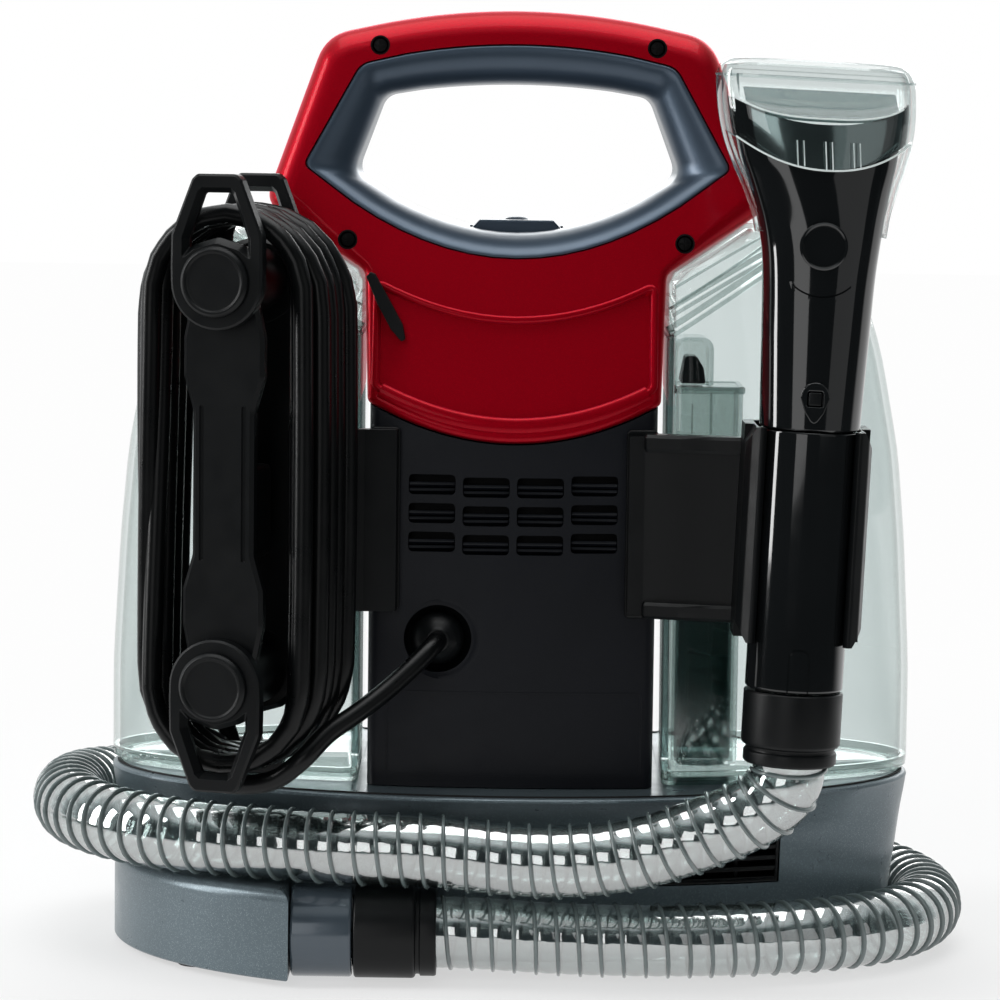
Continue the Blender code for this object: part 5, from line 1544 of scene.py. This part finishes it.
def tool_throat():
    """Hollow neck with a button hole, a curved groove under the badge and a scooped front."""
    (z0, x0, y0), *rest = spline(NECK_STATIONS, 8)
    rings = [superellipse(x0 - 0.5, y0 - 0.5, 115.4), superellipse(x0, y0, z0 + 0.45)]
    rings += [superellipse(half_x, half_y, z) for z, half_x, half_y in rest]
    rings += [superellipse(half_x - 2.0, half_y - 2.0, z)
              for z, half_x, half_y in rest[::-1] + [(z0, x0, y0)]]
    arc = []
    for degrees in range(198, 343, 4):
        angle = math.radians(degrees)
        x = Vector((15.0 * math.cos(angle), 0)).x
        z = BADGE_Z - 1.5 + 15.5 * math.sin(angle)
        arc.append(Vector((x, -14.9 - 0.35 * (1 - (x / 15) ** 2), z)))
    throat = cut(loft(rings, loop=True), block(-2.55, 2.55, -30, 0, 123.75, 128.85),
                 sweep(arc, section(0.28, -1.6, 0.34), up=(0, -1, 0)))
    edge = [(x, low_arc(x) + 1.2) for x in [-40, *range(-30, 31, 3), 40]]
    throat = cut(throat, prism(edge + [(40, 260), (-40, 260)], -40, -4.0, "XZ"))
    place_warped("tool_throat", throat, "gloss", replaces="tool_neck", smooth=30)


def tool_badge():
    disc = lathe([(0, 15.25), (6.7, 15.3), (7.0, 15.9), (7.5, 16.25), (8.0, 15.9), (8.1, 14.4),
                  (0, 14.4)], 72)
    place("tool_disc", moved(disc, TOOL @ shift(0, 0, BADGE_Z) @ Z_TO_MINUS_Y), "gloss",
          "tool_body", replaces="tool_badge", smooth=24)


def release_button():
    """Small pad in a teardrop surround."""
    pad = block(-2.2, 2.2, -17.45, -12.6, 124.1, 128.5, 0.5, 3)
    place("release_pad", moved(pad, TOOL), "satin", "release_body", replaces="release_button")
    drop = []
    for k in range(25):
        angle = math.pi * (k / 24) - 0.12 * (0.5 - k / 24)
        drop.append((4.9 * math.cos(angle), 127.0 + 4.9 * math.sin(angle)))
    drop += [(-3.2, 121.6), (-1.2, 118.6), (0.0, 117.9), (1.2, 118.6), (3.2, 121.6)]
    surround = cut(prism(drop, -17.3, -14.8, "XZ"),
                   block(-2.6, 2.6, -20, -10, 123.7, 128.9, 0.5, 2))
    place("release_surround", moved(surround, TOOL), "gloss", "tool_body", smooth=30, bevel=0.5,
          steps=3)


def spray_tip():
    profile = round_profile([(0, 196.0), (3.2, 196.0), (3.2, 206.0), (2.0, 209.0), (0.9, 209.0),
                             (0.9, 207.5), (0, 207.5)], 0.3, 2)
    place_warped("spray_nozzle", moved(lathe(profile, 32), shift(0, 20.0, 0)), "satin",
                 replaces="spray_tip")


def nozzle_solid(inset, ceiling=math.inf):
    stations = [(*station, nozzle_power(station.x)) for station in NOZZLE_WALL] + NOZZLE_TOP
    return loft([superellipse(half_x - inset, half_y - inset, min(z, ceiling), 80, power)
                 for z, half_x, half_y, power in stations])


def pocket(gap, half):
    """Slanted pocket cut into the front, below the lip."""
    y, z = POCKET_FOOT
    corners = [(-40, 190.6 - gap), (y, z - gap), (-7.0 + gap, 231.0 - gap * 0.4),
               (-7.0 + gap, 233.6 + gap), (-40, 233.6 + gap)]
    return prism(round_outline(corners, [None, None, 2.0, 1.5, None], 5), -half, half, "YZ")


def nozzle():
    shell = cut(cut(nozzle_solid(0.0), pocket(0.0, 28.4)),
                cut(nozzle_solid(1.7, 237.5), pocket(1.6, 30.0)))
    below = [(x, low_arc(x)) for x in range(-36, 37, 2)] + [(36, 160), (-36, 160)]
    neck = loft([superellipse(20.6, 14.3, 150), superellipse(21.4, 14.8, 182.5)])
    shell = cut(shell, prism(below, -40, -3.6, "XZ"), neck)
    place_warped("tool_nozzle", shell, "nozzle", replaces="tool_window", smooth=30)
    path = [Vector(point) for point in superellipse(33.3, 14.95, 233.2, 96, 3.2)]
    lip = sweep(path, section(0.5, -0.4, 0.4), up=(0, 0, 1), closed=True)
    place_warped("nozzle_lip", lip, "nozzle", smooth=50)


def band_plate(start, end, top_gap, count=36):
    """Curved plate behind the front wall; start and end are parts of the half width."""
    rows = 6

    def at(across_part, up_part, inset):
        low = low_arc(across_part * 30.0) + 0.5
        z = low + (high_arc(across_part * 30.0) - top_gap - low) * up_part
        half_x, half_y = [half - inset for half in between(NOZZLE_WALL, z)]
        power = nozzle_power(z)
        flat = (1 - abs(across_part) ** power) ** (1 / power)
        full = (1 - across_part * across_part) ** 0.5
        return (across_part * half_x, -half_y * (flat * 0.35 + full * 0.65), z)
    rings = []
    for i in range(count + 1):
        part = start + (end - start) * i / count
        rings.append([at(part, k / rows, 1.75) for k in range(rows + 1)]
                     + [at(part, k / rows, 2.15) for k in range(rows, -1, -1)])
    return loft(rings)


def nozzle_linings():
    place_warped("nozzle_band_liner", band_plate(-0.77, 0.88, top_gap=1.2), "mirror", smooth=40)
    sides = [band_plate(start, end, top_gap=1.0, count=8)
             for start, end in ((-0.975, -0.775), (0.885, 0.975))]
    place_warped("nozzle_side_seal", join(*sides), "gloss", smooth=40)
    # Thin slab parallel to the pocket: (distance behind it, distance up along it).
    y, z = POCKET_FOOT
    slab = [(y + 0.78 * behind + 0.638 * along, z - 0.625 * behind + 0.770 * along)
            for behind, along in ((1.9, -1.5), (1.9, 14.0), (2.4, 14.0), (2.4, -1.5))]
    floor_plate = overlap(nozzle_solid(2.0, 236.5), prism(slab, -26.0, 26.0, "YZ"))
    place_warped("nozzle_pocket_floor", floor_plate, "smoke", slot="tool_clear")


def front_line(height, half, depth):
    """Path across the nozzle's front wall at the given height for each x."""
    out = []
    for x in across(half, 48):
        z = height(x)
        half_x, half_y = between(NOZZLE_WALL, z)
        power = nozzle_power(z)
        y = -half_y * (1 - min(abs(x) / half_x, 0.9999) ** power) ** (1 / power)
        out.append(Vector((x, y + depth, z)))
    return out


def nozzle_edges():
    """Pale tubes along the edges of the front wall and pocket, and three pairs of upright ribs, all
    in a pale colour that is a painted highlight of lit clear edges.
    """
    path = front_line(lambda x: low_arc(x) + 0.1, 29.6, 0.1)
    place_warped("nozzle_front_edge_painted_highlight", tube(path, 0.36, 8), "edge", smooth=60)
    foot_y, foot_z = POCKET_FOOT
    path = [Vector((point.x, point.y + 0.25, foot_z + (point.y - foot_y) * 1.208 - 0.25))
            for point in front_line(high_arc, 27.4, 0.0)]
    place_warped("nozzle_pocket_edge_painted_highlight", tube(path, 0.34, 8), "edge", smooth=60)
    ribs = []
    for pair_x in (-9.0, 0.6, 10.2):
        for x in (pair_x - 1.1, pair_x + 1.1):
            path = [Vector((x, -16.1 + 0.0045 * x ** 2, z))
                    for z in (low_arc(pair_x) + 0.4, 205, 209, 212.4)]
            ribs.append(tube(path, 0.26, 8))
    place_warped("nozzle_ribs_painted_highlight", join(*ribs), "edge", smooth=60)


def tool_clip():
    """Channel that clips round the wand, with an arm to the column and two flanges."""
    # (x, y, radius) of the channel's +X half, in tool axes
    half = [(17.7, 24.2, 2.0), (17.7, 1.0, None), (17.4, -3.0, None), (16.6, -6.0, None),
            (15.3, -9.0, None), (14.8, -10.4, 0.8), (16.6, -12.2, 1.2), (20.0, -9.0, 2.5),
            (21.5, -3.0, 3.0), (21.5, 24.6, 1.5), (18.5, 27.6, 1.5)]
    corners = [(x, y) for x, y, _ in half]
    radii = [radius for _, _, radius in half]
    outline = round_outline(corners + mirrored(corners), radii + radii[::-1], 4)
    notches = []
    for sign in (-1, 1):
        for triangle in ([(22.6, 107.6), (22.6, 118.0), (16.9, 118.0)],
                         [(22.6, 49.8), (22.6, 40.0), (16.9, 40.0)]):
            notches.append(prism([(sign * x, z) for x, z in triangle], -16, 6, "XZ"))
    channel = moved(cut(prism(outline, 42.0, 115.3), *notches), TOOL)
    arm = [(40.5, -58.6), (50.5, -58.2), (60, -61.2), (82, -67.3), (84, -69.4), (80, -71.2),
           (70, -68.6), (60, -65.9), (52, -63.4), (46, -62.6), (40.5, -62.4)]
    flange = round_outline(
        [(45.5, -58.4), (50.5, -58.2), (82, -67.3), (84, -69.4), (79, -73.4), (70, -71.6),
         (58, -68.4), (45.5, -64.9)], [1, None, None, 1, 1.5, None, None, 1.5], 4)

    def flange_solid(z0, z1):
        def ring(inset, z):
            return [(x + (64.0 - x) * inset / 30, y + (0.0 if y > -62 else inset * 0.9), z)
                    for x, y in flange]
        return loft([ring(0.9, z0), ring(0.0, z0 + 1.1), ring(0.0, z1 - 1.1), ring(0.9, z1)])
    clip = fuse(channel, prism(arm, 129.0, 191.5), flange_solid(127.8, 133.6),
                flange_solid(186.4, 192.4))
    place("tool_clip", clip, "satin", replaces="tool_holder", smooth=32, bevel=0.55, steps=3)


# ------------------------------------------------------------------ floor, light, camera


def studio_floor():
    """Pale floor that fades to white; reflections see its far -Y part as dark."""
    bpy.ops.mesh.primitive_plane_add(size=14, location=(0, 0, 0))
    floor = bpy.context.object
    floor.name = "floor"
    material, tree = new_material("pale_floor")
    shader = tree.nodes["Principled BSDF"]
    mottle = noise(node(tree, "TexCoord").outputs["Object"], scale=1.5, detail=3)
    feed(shader, {"Base Color": ramp(mottle, [(0.3, (0.80,) * 3), (0.7, (0.84,) * 3)]),
                  "Roughness": 0.7, "Specular IOR Level": 0.2})
    white = node(tree, "Emission", {"Color": (0.985, 0.985, 0.985, 1), "Strength": 1.0})
    position = node(tree, "NewGeometry").outputs["Position"]
    distance = node(tree, "VectorMath", {0: position}, operation="LENGTH").outputs["Value"]
    whiten = remap(distance, start=0.16, end=0.85, low=0.60, high=1.0, kind="SMOOTHSTEP")
    pale = mix_shaders(whiten, shader.outputs["BSDF"], white.outputs["Emission"])
    glossy_ray = node(tree, "LightPath").outputs["Is Glossy Ray"]
    y = node(tree, "SeparateXYZ", {"Vector": position}).outputs["Y"]
    far = remap(distance, start=0.30, end=0.75, kind="SMOOTHSTEP")
    ahead = remap(y, start=0.35, end=-0.05, kind="SMOOTHSTEP")
    darken = combine("MULTIPLY", combine("MULTIPLY", far, ahead), glossy_ray)
    dark = node(tree, "Emission", {"Color": (0.03, 0.035, 0.037, 1)})
    surface = mix_shaders(darken, pale, dark.outputs["Emission"])
    feed(tree.nodes["Material Output"], {"Surface": surface})
    floor.data.materials.append(material)


def studio_world():
    """White to the camera, dim to diffuse rays; reflections darken towards -Y."""
    world = bpy.data.worlds.new("studio")
    bpy.context.scene.world = world
    world.use_nodes = True
    tree = world.node_tree
    direction = node(tree, "TexCoord").outputs["Generated"]
    axes = node(tree, "SeparateXYZ", {"Vector": direction}).outputs
    behind = remap(axes["Y"], start=-0.25, end=0.55)
    above = remap(axes["Z"], start=0.52, end=0.85, high=0.80, kind="SMOOTHSTEP")
    sky = ramp(combine("MAXIMUM", behind, above),
               [(0.0, (0.022, 0.026, 0.028)), (0.35, (0.07, 0.082, 0.085)),
                (0.7, (0.45, 0.49, 0.50)), (1.0, (0.95, 0.98, 0.98))])
    reflected = tree.nodes["Background"]
    feed(reflected, {"Color": sky, "Strength": 1.0})
    seen = node(tree, "Background", {"Color": (0.98, 0.98, 0.98, 1), "Strength": 1.02})
    diffuse = node(tree, "Background", {"Color": (0.95, 0.98, 1.0, 1), "Strength": 0.22})
    ray = node(tree, "LightPath").outputs
    lit = mix_shaders(ray["Is Diffuse Ray"], reflected.outputs["Background"],
                      diffuse.outputs["Background"])
    surface = mix_shaders(ray["Is Camera Ray"], lit, seen.outputs["Background"])
    feed(tree.nodes["World Output"], {"Surface": surface})


def softbox(name, location, aim, width, height, power, glossy=True):
    light = bpy.data.lights.new(name, "AREA")
    light.shape = "RECTANGLE"
    light.size, light.size_y = width, height
    light.energy = power
    light.color = (1, 1, 1)
    lamp = bpy.data.objects.new(name, light)
    bpy.context.scene.collection.objects.link(lamp)
    lamp.location = location
    lamp.rotation_mode = "QUATERNION"
    lamp.rotation_quaternion = (Vector(aim) - Vector(location)).to_track_quat("-Z", "Y")
    lamp.visible_camera = False
    lamp.visible_glossy = glossy


def lights():
    # name, location, aim, width and height in metres, power in watts
    softbox("left_strip", (-1.9, -0.25, 0.75), (0, 0, 0.15), width=0.50, height=1.7, power=30)
    softbox("right_soft", (1.47, -1.63, 0.55), (0, 0, 0.15), width=1.5, height=1.5, power=2.6)
    softbox("left_front", (-0.72, -2.25, 0.45), (0, 0, 0.2), width=1.05, height=1.5, power=7.2)
    softbox("front_fill", (-0.6, -2.4, 1.7), (0, 0, 0.16), width=1.5, height=0.7, power=8,
            glossy=False)
    softbox("top_soft", (0.0, 0.1, 2.3), (0, 0, 0.1), width=2.2, height=1.8, power=34)
    softbox("back_soft", (0.4, 2.4, 1.0), (0, 0, 0.15), width=2.0, height=1.2, power=18)


def camera():
    data = bpy.data.cameras.new("camera")
    rig = bpy.data.objects.new("camera", data)
    scene = bpy.context.scene
    scene.collection.objects.link(rig)
    data.sensor_width = 36.0
    data.lens = 136.3
    data.clip_start, data.clip_end = 0.01, 100
    data.shift_x = -0.013
    eye = Vector((0.0, -1380.0, 296.0)) * MM + SHIFT
    pitch_down = math.radians(5.517)
    look = Matrix.Rotation(math.pi / 2 - pitch_down, 4, "X")
    rig.matrix_world = Matrix.Translation(eye) @ look @ turn(0.75, "Z")
    scene.camera = rig
    scene.view_settings.view_transform = "Standard"
    scene.cycles.transparent_max_bounces = 48


# ------------------------------------------------------------------ build

for build in (
        dress_frame,
        handle_covers, handle_trim, handle_screws, grip_rings, power_button,
        base_tub, base_rim_seal, exhaust, rubber_feet,
        rear_column, vent_details, front_column, label_outline, mount_pads, cord_relief,
        tanks, fill_cap, inlet_stack, float_block, release_lever,
        winder_hooks, winder_frame, cord_coil, cord_tail, power_plug,
        hose_fittings, hose,
        wand, tool_throat, tool_badge, release_button, spray_tip,
        nozzle, nozzle_linings, nozzle_edges, tool_clip,
        studio_floor, studio_world, lights, camera):
    build()
